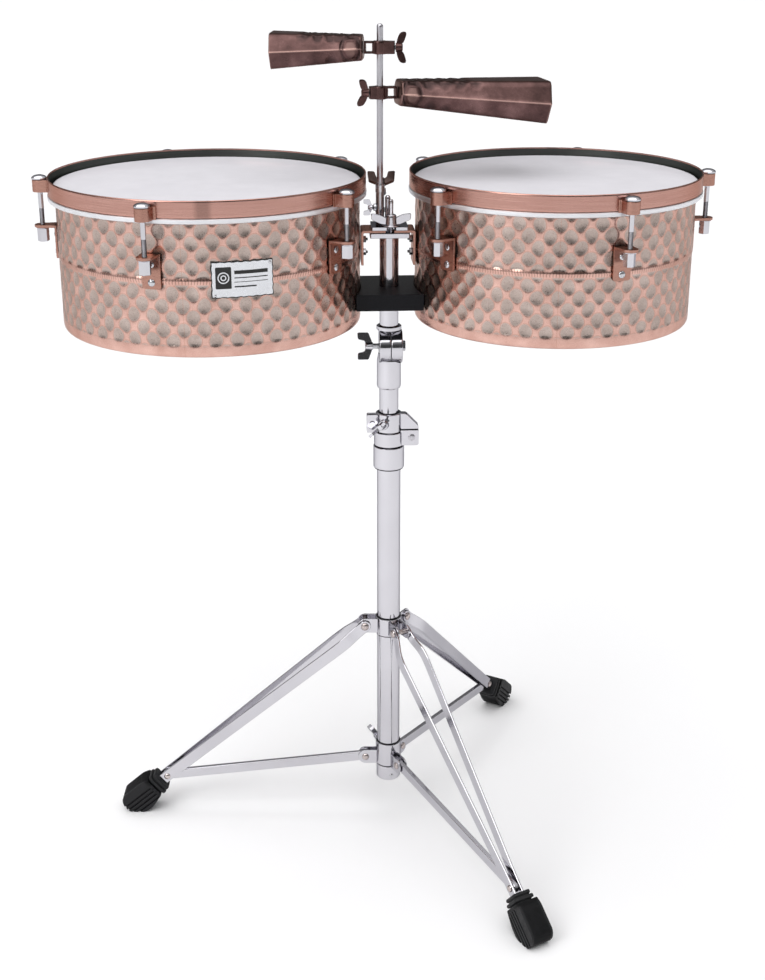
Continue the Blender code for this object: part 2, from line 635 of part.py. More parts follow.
def make_lug_mesh(shell_r, hoop_r):
    """An angle bracket on the shell, whose top is bent out into a round tab round the rod."""
    face = shell_r + LUG_STANDOFF
    reach = hoop_r + ROD_OFFSET
    top, under = HOOP_TOP_Z - TAB_DROP[0], HOOP_TOP_Z - TAB_DROP[1]
    bottom = HOOP_TOP_Z - LUG_BOTTOM_DROP
    plate = box((LUG_PLATE, LUG_WIDTH, top - bottom),
                (face + LUG_PLATE / 2.0, 0.0, (top + bottom) / 2.0))
    tab_points = [(face + 0.0005, -0.0098)]
    tab_points += arc((reach, 0.0), 0.0098, -90.0, 90.0, 8)
    tab_points += [(face + 0.0005, 0.0098)]
    tab = outline(tab_points, top - under - 0.0002, shift(0.0, 0.0, (top + under) / 2.0))
    hole = rod(ROD_HOLE_R, under - 0.01, top + 0.01, COARSE, shift(reach, 0.0, 0.0))
    return smooth(combined(plate, [tab], [hole]))


def make_rod_mesh():
    """A tension rod about its own axis: domed head, shank, washer and nut below the lug's tab."""
    head = -EAR_DROP[0] + GAP
    washer = -TAB_DROP[1] - GAP
    profile = [(0.0, head + 0.0030), (0.0065, head + 0.0022), (0.0094, head + 0.0006)]
    profile += [(0.0094, head), (ROD_R, head), (ROD_R, washer), (0.0080, washer)]
    profile += [(0.0080, washer - 0.0012), (0.0069, washer - 0.0012), (0.0069, -NUT_DROP)]
    profile += [(0.0, -NUT_DROP)]
    return smooth(turned(profile, COARSE))


def make_bracket_mesh(drum):
    """An angle bracket: an upright plate on the shell and a flange that reaches to the post."""
    inward = DRUMS[drum]["inward"]
    face = abs(DRUMS[drum]["x"]) - DRUMS[drum]["shell_r"] - BEAD_RISE - GAP
    low = PLATE_TOP_Z + GAP
    high = low + FLANGE_THICKNESS
    inner = face - 0.0030
    upright = box((0.0030, 0.0420, high - 0.8140), (-inward * (face - 0.0015), 0.0, (high + 0.8140) / 2.0))
    flange = box((face - 0.0005 - FLANGE_END_X, 0.0400, FLANGE_THICKNESS - 0.0002),
                 (-inward * (face - 0.0005 + FLANGE_END_X) / 2.0, 0.0, (low + high - 0.0002) / 2.0))
    nuts = [
        box((0.0052, 0.0080, 0.0080), (-inward * (inner - 0.0020), y, z))
        for z in (0.8430, 0.8270)
        for y in (-0.0120, 0.0120)
    ]
    return combined(upright, [flange, *nuts])


def make_drum(name, head):
    """One drum with its hardware, about an empty on the drum's own axis."""
    size = DRUMS[name]
    axis = empty(f"{name}_drum_axis", (size["x"], 0.0, 0.0), head)
    piece(f"{name}_shell", make_shell_mesh(size["shell_r"]), COPPER, axis)
    piece(f"{name}_drumhead", make_head_mesh(size["shell_r"], size["hoop_r"]), FILM, axis)
    piece(f"{name}_hoop", make_hoop_mesh(size["hoop_r"], size["first_lug"]), COPPER, axis)
    piece(f"{name}_bracket", make_bracket_mesh(name), COPPER, head)
    lug_mesh = make_lug_mesh(size["shell_r"], size["hoop_r"])
    rod_mesh = make_rod_mesh()
    for index in range(LUGS):
        bearing = math.radians(lug_bearing(name, index))
        piece(f"{name}_lug_{index + 1}", lug_mesh.copy(), COPPER, axis, (0.0, 0.0, 0.0),
              (0.0, 0.0, bearing))
        reach = size["hoop_r"] + ROD_OFFSET
        place = (reach * math.cos(bearing), reach * math.sin(bearing), HOOP_TOP_Z)
        piece(f"{name}_rod_{index + 1}", rod_mesh.copy(), CHROME, axis, place, (0.0, 0.0, bearing))


# ---------------------------------------------------------------- cowbells


def bell_section(along, half_height, flat, crease):
    """Six corners of a bell's section: flat top and bottom, and a crease along each side."""
    return [
        Vector((along, flat, half_height)), Vector((along, -flat, half_height)),
        Vector((along, -crease, 0.0)), Vector((along, -flat, -half_height)),
        Vector((along, flat, -half_height)), Vector((along, crease, 0.0)),
    ]


def make_bell_mesh(bell):
    """A tapered open shell from the closed end to the mouth, lofted and then thickened inwards."""
    start, length = bell["start"], bell["length"]
    bm = bmesh.new()
    rings = []
    for along, section in ((start, bell["closed"]), (start + length, bell["mouth"])):
        rings.append([bm.verts.new(p) for p in bell_section(along, *section)])
    closed, mouth = rings
    bm.faces.new(closed)
    for i in range(6):
        j = (i + 1) % 6
        bm.faces.new((closed[i], closed[j], mouth[j], mouth[i]))
    bmesh.ops.recalc_face_normals(bm, faces=bm.faces)
    guide = bpy.data.objects.new("bell", mesh_from(bm, "bell"))
    cutters().objects.link(guide)
    wall = guide.modifiers.new("wall", "SOLIDIFY")
    wall.thickness = BELL_WALL
    wall.offset = -1.0
    wall.use_even_offset = True
    mesh = evaluated_mesh(guide)
    bpy.data.objects.remove(guide)
    tilt = Matrix.Rotation(math.radians(bell["droop"]), 4, "Y")
    mesh.transform(shift(start, 0.0, 0.0) @ tilt @ shift(-start, 0.0, 0.0))
    return mesh


def make_bell_clamp_mesh(bell):
    """A block round the rod and a windowed arm that reaches to the bell's closed end."""
    back = bell["block_end"]
    block = box((back + 0.0080, 0.0170, 0.0170), ((0.0080 - back) / 2.0, 0.0, 0.0))
    reach = bell["start"] - GAP - 0.0075 * math.tan(math.radians(bell["droop"]))
    arm = box((reach - 0.0060, 0.0120, 0.0140), ((reach + 0.0060) / 2.0, 0.0, 0.0))
    hole = rod(BELL_ROD_R + GAP, -0.02, 0.02, FINE)
    window = box((0.0062, 0.0300, 0.0090), (0.0132, 0.0, 0.0))
    return combined(block, [arm], [hole, window])


def make_bells(head):
    rod_low = PLATE_TOP_Z + 3 * GAP + FLANGE_THICKNESS + PRESSURE_THICKNESS
    rod_axis = empty("bell_rod_axis", (ROD_X, ROD_Y, 0.0), head)
    profile = [(0.0, BELL_ROD_TOP_Z), (BELL_ROD_R * 0.6, BELL_ROD_TOP_Z - 0.0008)]
    profile += [(BELL_ROD_R, BELL_ROD_TOP_Z - 0.0035), (BELL_ROD_R, rod_low), (0.0, rod_low)]
    piece("bell_rod", smooth(turned(profile, FINE)), ZINC, rod_axis)
    for name, bell in BELLS.items():
        swivel = empty(f"{name}_bell_axis", (0.0, 0.0, bell["z"]), rod_axis,
                       (0.0, 0.0, math.radians(bell["bearing"])))
        piece(f"{name}_bell", make_bell_mesh(bell), DARK_COPPER, swivel)
        piece(f"{name}_bell_clamp", make_bell_clamp_mesh(bell), DARK_COPPER, swivel)
        wing = wing_piece(0.0185, 0.0052, 0.0080, (0.0030, 0.0130), 0.0036, 0.0028, 0.0010)
        turn = axis_matrix((-bell["block_end"] - 0.0010 - GAP, 0.0, 0.0), (-1.0, 0.0, 0.0), 80.0)
        piece(f"{name}_bell_wing_nut", wing, DARK_COPPER, swivel, turn.to_translation(),
              turn.to_euler())


def main():
    clear_scene()
    axis = empty("stand_axis", (STAND_X, STAND_Y, 0.0))
    make_tripod(axis)
    make_height_clamp(axis)
    tilt = make_mast(axis)
    head = make_post(tilt)
    for name in DRUMS:
        make_drum(name, head)
    make_bells(head)


main()
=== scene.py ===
"""Timbales in a plain studio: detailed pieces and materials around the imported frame.

Every piece is placed from the frame's boxes. The stand's own axis is the base tube's.
"""
import json
import math

import bmesh
import bpy
import numpy as np
from mathutils import Matrix, Vector


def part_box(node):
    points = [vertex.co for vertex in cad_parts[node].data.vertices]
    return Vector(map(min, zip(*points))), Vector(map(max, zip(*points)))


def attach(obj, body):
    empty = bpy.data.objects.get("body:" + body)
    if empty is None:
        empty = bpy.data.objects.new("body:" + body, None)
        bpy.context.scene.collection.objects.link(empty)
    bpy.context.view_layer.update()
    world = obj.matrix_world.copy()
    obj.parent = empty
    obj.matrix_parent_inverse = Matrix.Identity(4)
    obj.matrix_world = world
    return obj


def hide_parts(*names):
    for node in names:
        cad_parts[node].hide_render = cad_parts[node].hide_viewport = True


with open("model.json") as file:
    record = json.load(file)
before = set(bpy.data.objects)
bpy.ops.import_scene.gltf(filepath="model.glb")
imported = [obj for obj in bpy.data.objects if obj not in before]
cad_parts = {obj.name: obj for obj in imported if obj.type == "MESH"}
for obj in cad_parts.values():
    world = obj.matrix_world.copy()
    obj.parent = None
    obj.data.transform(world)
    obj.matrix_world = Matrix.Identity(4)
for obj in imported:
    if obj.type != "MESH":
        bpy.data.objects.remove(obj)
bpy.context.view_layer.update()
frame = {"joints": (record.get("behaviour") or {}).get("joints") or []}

# ---------------------------------------------------------------- places read from the frame


def middle(node):
    low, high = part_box(node)
    return (Vector(low) + Vector(high)) / 2.0


def span(node):
    low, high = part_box(node)
    return Vector(high) - Vector(low)


def rotate(degrees, axis):
    return Matrix.Rotation(math.radians(degrees), 4, axis)


def move(x, y, z):
    return Matrix.Translation((x, y, z))


AXIS = Vector((middle("base_tube").x, middle("base_tube").y, 0.0))
JOINTS = {joint["name"]: joint for joint in frame["joints"]}
LEGS = ("left", "front", "back")
SIDES = {"left": 1.0, "right": -1.0}  # which way along X each drum's inner side faces
LUGS = 5
BELLS = ("small", "large")

# ---------------------------------------------------------------- materials


class Nodes:
    """A short way to write a material's node tree."""

    def __init__(self, name):
        self.material = bpy.data.materials.new(name)
        self.material.use_nodes = True
        self.tree = self.material.node_tree
        self.shader = self.tree.nodes["Principled BSDF"]

    def add(self, kind, **settings):
        node = self.tree.nodes.new(kind)
        for key, value in settings.items():
            setattr(node, key, value)
        return node

    def link(self, source, target):
        self.tree.links.new(source, target)

    def put(self, target, value):
        if isinstance(value, bpy.types.NodeSocket):
            self.link(value, target)
        else:
            target.default_value = value

    def math(self, operation, first, second=0.0, third=0.0, clamp=False):
        node = self.add("ShaderNodeMath", operation=operation, use_clamp=clamp)
        for socket, value in zip(node.inputs, (first, second, third)):
            self.put(socket, value)
        return node.outputs[0]

    def noise(self, scale, detail=3.0, roughness=0.55, stretch=(1.0, 1.0, 1.0), distortion=0.0):
        coords = self.add("ShaderNodeTexCoord")
        mapping = self.add("ShaderNodeMapping")
        mapping.inputs["Scale"].default_value = stretch
        self.link(coords.outputs["Object"], mapping.inputs["Vector"])
        node = self.add("ShaderNodeTexNoise")
        self.link(mapping.outputs[0], node.inputs["Vector"])
        node.inputs["Scale"].default_value = scale
        node.inputs["Detail"].default_value = detail
        node.inputs["Roughness"].default_value = roughness
        node.inputs["Distortion"].default_value = distortion
        return node.outputs["Fac"]

    def ramp(self, fac, *stops):
        node = self.add("ShaderNodeValToRGB")
        elements = node.color_ramp.elements
        while len(elements) < len(stops):
            elements.new(0.5)
        for element, (position, colour) in zip(elements, stops):
            element.position = position
            element.color = (*colour, 1.0)
        self.link(fac, node.inputs["Fac"])
        return node.outputs["Color"]

    def remap(self, value, low, high, to_low=0.0, to_high=1.0, smooth=False):
        node = self.add("ShaderNodeMapRange", interpolation_type="SMOOTHSTEP" if smooth else "LINEAR")
        for name, number in (("From Min", low), ("From Max", high), ("To Min", to_low), ("To Max", to_high)):
            node.inputs[name].default_value = number
        self.link(value, node.inputs["Value"])
        return node.outputs["Result"]

    def mix(self, fac, first, second, blend="MIX"):
        node = self.add("ShaderNodeMix", data_type="RGBA", blend_type=blend)
        self.put(node.inputs[0], fac)
        self.put(node.inputs[6], first if isinstance(first, bpy.types.NodeSocket) else (*first, 1.0))
        self.put(node.inputs[7], second if isinstance(second, bpy.types.NodeSocket) else (*second, 1.0))
        return node.outputs[2]

    def bump(self, height, strength, distance=0.001):
        node = self.add("ShaderNodeBump")
        node.inputs["Strength"].default_value = strength
        node.inputs["Distance"].default_value = distance
        self.link(height, node.inputs["Height"])
        self.link(node.outputs["Normal"], self.shader.inputs["Normal"])

    def surface(self, colour, roughness, metallic, edge=None):
        self.put(self.shader.inputs["Base Color"], colour if isinstance(colour, bpy.types.NodeSocket)
                 else (*colour, 1.0))
        self.put(self.shader.inputs["Roughness"], roughness)
        self.shader.inputs["Metallic"].default_value = metallic
        # edge: a Specular Tint below white darkens grazing reflections, a painted reflection of darker
        # surroundings along the rims.
        if edge is not None:
            self.shader.inputs["Specular Tint"].default_value = (*edge, 1.0)
        return self.material


def plated(name, light, dark, low, high, edge, hairline=0.0, stretch=(1.0, 1.0, 1.0), scale=60.0,
           bump=0.03, weld=None):
    """Plated metal: cloudy tone, uneven gloss, fine scratches or hairlines."""
    n = Nodes(name)
    cloud = n.noise(9.0, 4.0)
    fine = n.noise(scale, 3.0, 0.6, stretch)
    tone = n.math("ADD", n.math("MULTIPLY", cloud, 1.0 - hairline), n.math("MULTIPLY", fine, hairline))
    colour = n.ramp(tone, (0.30, dark), (0.70, light))
    if weld is not None:
        place = n.add("ShaderNodeAttribute", attribute_name="weld").outputs["Fac"]
        colour = n.mix(n.remap(place, 0.25, 0.75, 0.0, 0.75, smooth=True), colour, weld)
    n.bump(fine, bump, 0.0004)
    return n.surface(colour, n.remap(fine, 0.3, 0.7, low, high), 1.0, edge)


def hammered_copper():
    """Raised copper net round worn grey dimples, a ticked bead, a seam, and a smooth lower edge."""
    n = Nodes("hammered_copper")
    grid = n.add("ShaderNodeSeparateXYZ")
    n.link(n.add("ShaderNodeAttribute", attribute_name="lattice").outputs["Vector"], grid.inputs[0])
    across, up, height = grid.outputs

    def nearest(shift_across, shift_up):
        dx = n.math("SUBTRACT", n.math("FRACT", n.math("ADD", across, shift_across)), 0.5)
        dy = n.math("SUBTRACT", n.math("FRACT", n.math("ADD", up, shift_up)), 0.5)
        powers = n.math("ADD", n.math("POWER", n.math("ABSOLUTE", n.math("MULTIPLY", dx, 26.0)), 1.95),
                        n.math("POWER", n.math("ABSOLUTE", n.math("MULTIPLY", dy, 26.6)), 1.95))
        return n.math("POWER", powers, 1.0 / 1.95)

    distance = n.math("MINIMUM", nearest(0.5, 0.0), nearest(0.0, 0.5))
    wobble = n.noise(42.0, 2.0)
    distance = n.math("ADD", distance, n.math("MULTIPLY", n.math("SUBTRACT", wobble, 0.5), 3.0))
    worn = n.remap(distance, 7.0, 9.7, 0.94, 0.0, smooth=True)
    rows = n.math("MULTIPLY", n.remap(height, 0.0120, 0.0150, smooth=True),
                  n.remap(n.math("ABSOLUTE", n.math("SUBTRACT", height, BEAD_ABOVE)), 0.0032, 0.0050,
                          smooth=True))
    worn = n.math("MULTIPLY", worn, rows)
    grain = n.noise(420.0, 2.0, 0.7)
    net = n.ramp(n.math("ADD", n.math("MULTIPLY", grain, 0.25), n.math("MULTIPLY", wobble, 0.75)),
                 (0.30, (0.55, 0.320, 0.265)), (0.70, (0.72, 0.460, 0.395)))
    patina = n.ramp(n.math("ADD", n.math("MULTIPLY", grain, 0.5), n.math("MULTIPLY", wobble, 0.5)),
                    (0.30, (0.330, 0.270, 0.240)), (0.70, (0.520, 0.440, 0.400)))
    colour = n.mix(worn, net, patina)
    ring = n.math("MULTIPLY", n.remap(n.math("ABSOLUTE", n.math("SUBTRACT", distance, 9.0)), 0.0, 0.9,
                                      1.0, 0.0), rows)
    colour = n.mix(n.math("MULTIPLY", ring, 0.40), colour, (0.34, 0.17, 0.125))
    bead = n.remap(n.math("ABSOLUTE", n.math("SUBTRACT", height, BEAD_ABOVE)), 0.0026, 0.0042, 1.0, 0.0)
    ticks = n.remap(n.math("SINE", n.math("MULTIPLY", across, 44.0)), 0.1, 0.9)
    colour = n.mix(n.math("MULTIPLY", n.math("MULTIPLY", bead, ticks), 0.55), colour,
                   (0.16, 0.085, 0.065))
    seam = n.remap(n.math("ABSOLUTE", across), 0.012, 0.035, 1.0, 0.0)
    colour = n.mix(n.math("MULTIPLY", seam, 0.45), colour, (0.42, 0.20, 0.14))
    n.bump(n.math("SUBTRACT", grain, n.math("MULTIPLY", n.math("MULTIPLY", bead, ticks), 1.5)), 0.10, 0.0005)
    rough = n.math("ADD", n.math("MULTIPLY", worn, 0.06), n.remap(grain, 0.3, 0.7, 0.19, 0.28))
    return n.surface(colour, rough, 1.0, (0.62, 0.55, 0.52))


def antique_copper():
    """The bells' dark finish: brown in the hollows, paler where it is rubbed, with painted shade in the
    groove round each lobe and along the top.
    """
    n = Nodes("antique_copper")
    cloud = n.noise(28.0, 5.0, 0.6)
    grain = n.noise(380.0, 2.0, 0.7)
    colour = n.ramp(cloud, (0.30, (0.055, 0.032, 0.030)), (0.52, (0.115, 0.064, 0.060)),
                    (0.75, (0.215, 0.124, 0.116)))
    rub = n.add("ShaderNodeAttribute", attribute_name="rub").outputs["Fac"]
    colour = n.mix(n.remap(rub, 0.15, 0.9, 0.0, 0.85), colour, (0.56, 0.36, 0.31))
    # Near-black mix: dark patina in the dents, painted shade in the groove round each lobe and along the top,
    # and darker towards the closed end.
    soot_and_shade = n.add("ShaderNodeAttribute", attribute_name="soot_and_shade").outputs["Fac"]
    colour = n.mix(n.remap(soot_and_shade, 0.1, 0.9, 0.0, 0.75), colour, (0.030, 0.022, 0.022))
    n.bump(grain, 0.12, 0.0004)
    return n.surface(colour, n.remap(grain, 0.3, 0.7, 0.26, 0.38), 1.0, (0.55, 0.5, 0.48))


def film():
    """Drumhead film: white, semi-gloss, very faintly mottled."""
    n = Nodes("drum_film")
    cloud = n.noise(30.0, 3.0)
    colour = n.ramp(cloud, (0.3, (0.875, 0.855, 0.905)), (0.7, (0.905, 0.885, 0.935)))
    n.bump(n.noise(300.0, 2.0), 0.02, 0.0003)
    return n.surface(colour, n.remap(cloud, 0.3, 0.7, 0.16, 0.19), 0.0)


def plain(name, light, dark, low, high, scale=220.0, bump=0.2, metallic=0.0, specular=0.35):
    n = Nodes(name)
    grain = n.noise(scale, 4.0, 0.65)
    n.bump(grain, bump, 0.0006)
    n.shader.inputs["Specular IOR Level"].default_value = specular
    return n.surface(n.ramp(grain, (0.3, dark), (0.7, light)), n.remap(grain, 0.3, 0.7, low, high), metallic)


BEAD_ABOVE = 0.0913  # the shell's bead above its lower edge

# Chrome's dark edge tint paints darker reflections along its rims.
CHROME = plated("chrome", (0.635, 0.625, 0.66), (0.565, 0.555, 0.59), 0.07, 0.13, (0.30, 0.30, 0.32))
STEEL = plated("bright_steel", (0.62, 0.62, 0.64), (0.50, 0.50, 0.53), 0.16, 0.26, (0.4, 0.4, 0.42))
ZINC = plated("zinc_plate", (0.58, 0.57, 0.60), (0.47, 0.46, 0.49), 0.24, 0.34, (0.4, 0.4, 0.42), 0.3,
              (1.0, 1.0, 0.02), 500.0)
RIVET = plated("rivet_steel", (0.62, 0.55, 0.53), (0.48, 0.42, 0.41), 0.22, 0.34, (0.4, 0.4, 0.4))
# Dark steel for threads, wing shafts and the tilter's teeth; also the painted shade of the small screws'
# cross recesses.
THREAD_AND_RECESS_SHADE = plated("thread_steel_and_recess_shade", (0.34, 0.34, 0.36), (0.20, 0.20, 0.22), 0.30, 0.45, (0.3, 0.3, 0.3))
HOOP_COPPER = plated("brushed_copper", (0.58, 0.335, 0.285), (0.41, 0.220, 0.180), 0.20, 0.30,
                     (0.62, 0.5, 0.46), 0.75, (0.02, 0.02, 1.0), 900.0, 0.10, (0.27, 0.155, 0.13))
PLATE_COPPER = plated("satin_copper", (0.50, 0.275, 0.220), (0.34, 0.180, 0.140), 0.24, 0.36,
                      (0.6, 0.5, 0.46), 0.5, (0.3, 0.3, 1.0), 400.0, 0.08)
GUNMETAL = plated("gunmetal", (0.105, 0.112, 0.104), (0.060, 0.066, 0.060), 0.28, 0.40, (0.4, 0.4, 0.4),
                  0.6, (0.02, 0.02, 1.0), 900.0)
ALUMINIUM = plated("satin_aluminium", (0.90, 0.90, 0.92), (0.74, 0.74, 0.77), 0.30, 0.44,
                   (0.8, 0.8, 0.8), 0.8, (0.05, 0.05, 1.0), 700.0, 0.10)
HAMMERED = hammered_copper()
BELL_COPPER = antique_copper()
FILM = film()
RUBBER = plain("black_rubber", (0.013, 0.013, 0.015), (0.006, 0.006, 0.007), 0.50, 0.72)
PLASTIC = plain("black_plastic", (0.007, 0.007, 0.010), (0.003, 0.003, 0.004), 0.40, 0.55, 500.0, 0.1,
                specular=0.16)
DARK_BRONZE = plated("dark_bronze", (0.170, 0.120, 0.108), (0.080, 0.056, 0.052), 0.18, 0.28,
                     (0.5, 0.45, 0.42))
BADGE_BLACK = plain("badge_black", (0.020, 0.020, 0.020), (0.012, 0.012, 0.012), 0.30, 0.40)
BADGE_SILVER = plain("badge_silver", (0.76, 0.77, 0.80), (0.68, 0.69, 0.72), 0.22, 0.32, 90.0, 0.05, 1.0)

# ---------------------------------------------------------------- mesh making


def finish_piece(name, bm, materials, body, at=None, angle=35.0, bevel=0.0, segments=2):
    """Makes the object, places it, shades it and lets it ride on its body."""
    mesh = bpy.data.meshes.new(name)
    bm.to_mesh(mesh)
    bm.free()
    return finish_mesh(name, mesh, materials, body, at, angle, bevel, segments)


def finish_mesh(name, mesh, materials, body, at=None, angle=35.0, bevel=0.0, segments=2):
    obj = bpy.data.objects.new(name, mesh)
    for material in materials if isinstance(materials, (list, tuple)) else [materials]:
        mesh.materials.append(material)
    bpy.context.scene.collection.objects.link(obj)
    if at is not None:
        obj.matrix_world = at
    mesh.shade_smooth()
    mesh.set_sharp_from_angle(angle=math.radians(angle))
    if bevel > 0.0:
        modifier = obj.modifiers.new("rounded edges", "BEVEL")
        modifier.width = bevel
        modifier.segments = segments
        modifier.limit_method = "ANGLE"
        modifier.angle_limit = math.radians(35.0)
        modifier.harden_normals = True
    bpy.context.view_layer.update()
    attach(obj, body)
    return obj


def supported(profile, closed, near=0.0017, long=0.0080):
    """The profile with a point just inside each end of a long run: smooth shading stays flat there."""
    out = []
    ends = profile[1:] + (profile[:1] if closed else [])
    for i, (r0, z0) in enumerate(profile):
        out.append((r0, z0))
        if i >= len(ends):
            break
        r1, z1 = ends[i]
        run = math.hypot(r1 - r0, z1 - z0)
        if run > long:
            for share in (near / run, 1.0 - near / run):
                out.append((r0 + (r1 - r0) * share, z0 + (z1 - z0) * share))
    return out


def ring_outline(inner, outer, low, high):
    """A plain ring's profile, for a closed lathe."""
    return [(inner, high), (outer, high), (outer, low), (inner, low)]


def pin_outline(radius, low, high):
    """A plain pin's profile, from the axis out and back."""
    return [(0.0, high), (radius, high), (radius, low), (0.0, low)]


def lathe(bm, profile, sides=48, at=None, closed=False, index=0):
    """Adds a turned shape to bm: (radius, height) points, down the outer side, poles where radius is 0."""
    at = at or Matrix.Identity(4)
    rings = []
    for radius, height in supported(profile, closed):
        if radius < 1e-7:
            rings.append([bm.verts.new(at @ Vector((0.0, 0.0, height)))])
            continue
        rings.append([
            bm.verts.new(at @ Vector((radius * math.cos(a), radius * math.sin(a), height)))
            for a in (2.0 * math.pi * i / sides for i in range(sides))
        ])
    pairs = list(zip(rings, rings[1:]))
    if closed:
        pairs.append((rings[-1], rings[0]))
    made = []
    for upper, lower in pairs:
        for i in range(sides):
            j = (i + 1) % sides
            if len(upper) == 1 and len(lower) == 1:
                continue
            if len(upper) == 1:
                corners = (upper[0], lower[i], lower[j])
            elif len(lower) == 1:
                corners = (upper[j], upper[i], lower[0])
            else:
                corners = (upper[j], upper[i], lower[i], lower[j])
            made.append(bm.faces.new(corners))
    for face in made:
        face.material_index = index
        face.smooth = True
    return made


def rounded(corners, radius, steps=4):
    """Corners of a closed outline made round: each becomes a short curve."""
    out = []
    count = len(corners)
    for i, (x, y) in enumerate(corners):
        here = Vector((x, y))
        before, after = Vector(corners[i - 1]), Vector(corners[(i + 1) % count])
        r = radius[i] if isinstance(radius, (list, tuple)) else radius
        if r <= 0.0:
            out.append((x, y))
            continue
        first = (before - here)
        second = (after - here)
        start = here + first.normalized() * min(r, first.length * 0.48)
        end = here + second.normalized() * min(r, second.length * 0.48)
        for k in range(steps + 1):
            t = k / steps
            point = start * (1 - t) ** 2 + here * 2 * t * (1 - t) + end * t ** 2
            out.append((point.x, point.y))
    return out


def arc(x, y, radius, start, end, steps):
    turns = [math.radians(start + (end - start) * i / steps) for i in range(steps + 1)]
    return [(x + radius * math.cos(a), y + radius * math.sin(a)) for a in turns]


def prism(bm, outline, thickness, at=None, index=0, holes=()):
    """Adds a flat outline in X-Y, thickness centred on Z, with holes as more outlines."""
    at = at or Matrix.Identity(4)
    curve = bpy.data.curves.new("outline", "CURVE")
    curve.dimensions = "2D"
    curve.fill_mode = "BOTH"
    curve.extrude = thickness / 2.0
    for points in (outline, *holes):
        spline = curve.splines.new("POLY")
        spline.points.add(len(points) - 1)
        for point, (x, y) in zip(spline.points, points):
            point.co = (x, y, 0.0, 1.0)
        spline.use_cyclic_u = True
    guide = bpy.data.objects.new("outline", curve)
    bpy.context.scene.collection.objects.link(guide)
    bpy.context.view_layer.update()
    mesh = bpy.data.meshes.new_from_object(guide.evaluated_get(bpy.context.evaluated_depsgraph_get()))
    bpy.data.objects.remove(guide)
    bpy.data.curves.remove(curve)
    mesh.transform(at)
    for polygon in mesh.polygons:
        polygon.material_index = index
    part = bmesh.new()
    part.from_mesh(mesh)
    bmesh.ops.remove_doubles(part, verts=part.verts, dist=1e-6)
    bmesh.ops.recalc_face_normals(part, faces=part.faces)
    bmesh.ops.dissolve_limit(part, angle_limit=0.002, verts=part.verts, edges=part.edges)
    part.to_mesh(mesh)
    part.free()
    bm.from_mesh(mesh)
    bpy.data.meshes.remove(mesh)


def block(bm, size, centre, at=None, index=0):
    at = at or Matrix.Identity(4)
    made = bmesh.ops.create_cube(bm, size=1.0, matrix=at @ Matrix.Translation(centre)
                                 @ Matrix.Diagonal((*size, 1.0)))
    for vert in made["verts"]:
        for face in vert.link_faces:
            face.material_index = index


def loft(bm, sections, close_start=True, close_end=True, index=0):
    """Adds a skin through sections of equal point counts, each a list of Vectors round a loop."""
    rings = [[bm.verts.new(p) for p in section] for section in sections]
    made = []
    for first, second in zip(rings, rings[1:]):
        for i in range(len(first)):
            j = (i + 1) % len(first)
            made.append(bm.faces.new((first[i], first[j], second[j], second[i])))
    if close_start:
        made.append(bm.faces.new(list(reversed(rings[0]))))
    if close_end:
        made.append(bm.faces.new(rings[-1]))
    for face in made:
        face.material_index = index
    return rings


def along(origin, direction, spin=0.0):
    """A frame at origin whose Z runs along direction."""
    turn = Vector(direction).to_track_quat("Z", "Y").to_matrix().to_4x4()
    return Matrix.Translation(origin) @ turn @ rotate(spin, "Z")


def bearing(degrees, origin=AXIS):
    """A frame on a vertical axis whose X points outwards along the bearing."""
    return Matrix.Translation(origin) @ rotate(degrees, "Z")


UPRIGHT = rotate(90.0, "X")
DOME = ((0.0, 1.0), (0.35, 0.93), (0.65, 0.72), (0.87, 0.42), (1.0, 0.0))


def dome(bm, radius, height, at, sides=28, index=0, base=0.0006):
    """A rivet's or bolt's low round head, standing on Z = 0."""
    profile = [(radius * x, base + height * z) for x, z in DOME] + [(radius, 0.0), (0.0, 0.0)]
    lathe(bm, profile, sides, at, index=index)


def hexagon(bm, across_flats, low, high, at, index=0):
    """A hexagon nut or head with its corners turned off."""
    corner = across_flats / math.sqrt(3.0)
    chamfer = corner * 0.09
    rings = []
    for radius, height in ((corner - chamfer, high), (corner, high - chamfer), (corner, low + chamfer),
                           (corner - chamfer, low)):
        rings.append([at @ Vector((radius * math.cos(a), radius * math.sin(a), height))
                      for a in (math.pi / 3.0 * i for i in range(6))])
    loft(bm, list(reversed(rings)), index=index)


def thread(low, high, radius, pitch=0.0009, depth=0.0003):
    """A turned profile, from the top down, that reads as a thread."""
    count = max(2, int((high - low) / pitch))
    out = []
    for i in range(count):
        top = high - (high - low) * i / count
        out += [(radius - depth, top), (radius, top - (high - low) / count * 0.5)]
    return out


def cross_recess_shade(bm, radius, at, index=0):
    """The cross in a small screw's head: two thin dark slabs, painted shade standing in for the recess."""
    for turn in (0.0, 90.0):
        block(bm, (radius * 1.15, radius * 0.24, radius * 0.10), (0.0, 0.0, 0.0),
              at @ rotate(turn + 35.0, "Z"), index)


def small_screw(name, radius, at, body):
    bm = bmesh.new()
    dome(bm, radius, radius * 0.38, at)
    cross_recess_shade(bm, radius, at @ move(0.0, 0.0, radius * 0.41), 1)
    return finish_piece(name, bm, [STEEL, THREAD_AND_RECESS_SHADE], body)


CHROME_WING = ((0.0005, 0.0035), (0.0059, 0.0180), (0.0205, 0.0180), (0.0200, 0.0088), (0.0108, 0.0066),
               (0.0104, 0.0030))
ROD_WING = ((0.0008, 0.0035), (0.0068, 0.0165), (0.0205, 0.0180), (0.0200, 0.0088), (0.0108, 0.0066),
            (0.0096, 0.0036))
LOW_WING = ((0.0010, 0.0040), (0.0030, 0.0130), (0.0082, 0.0250), (0.0160, 0.0255), (0.0150, 0.0160),
            (0.0110, 0.0060))
COPPER_WING = ((0.0005, 0.0035), (0.0015, 0.0100), (0.0052, 0.0185), (0.0135, 0.0190), (0.0118, 0.0110),
               (0.0085, 0.0040))


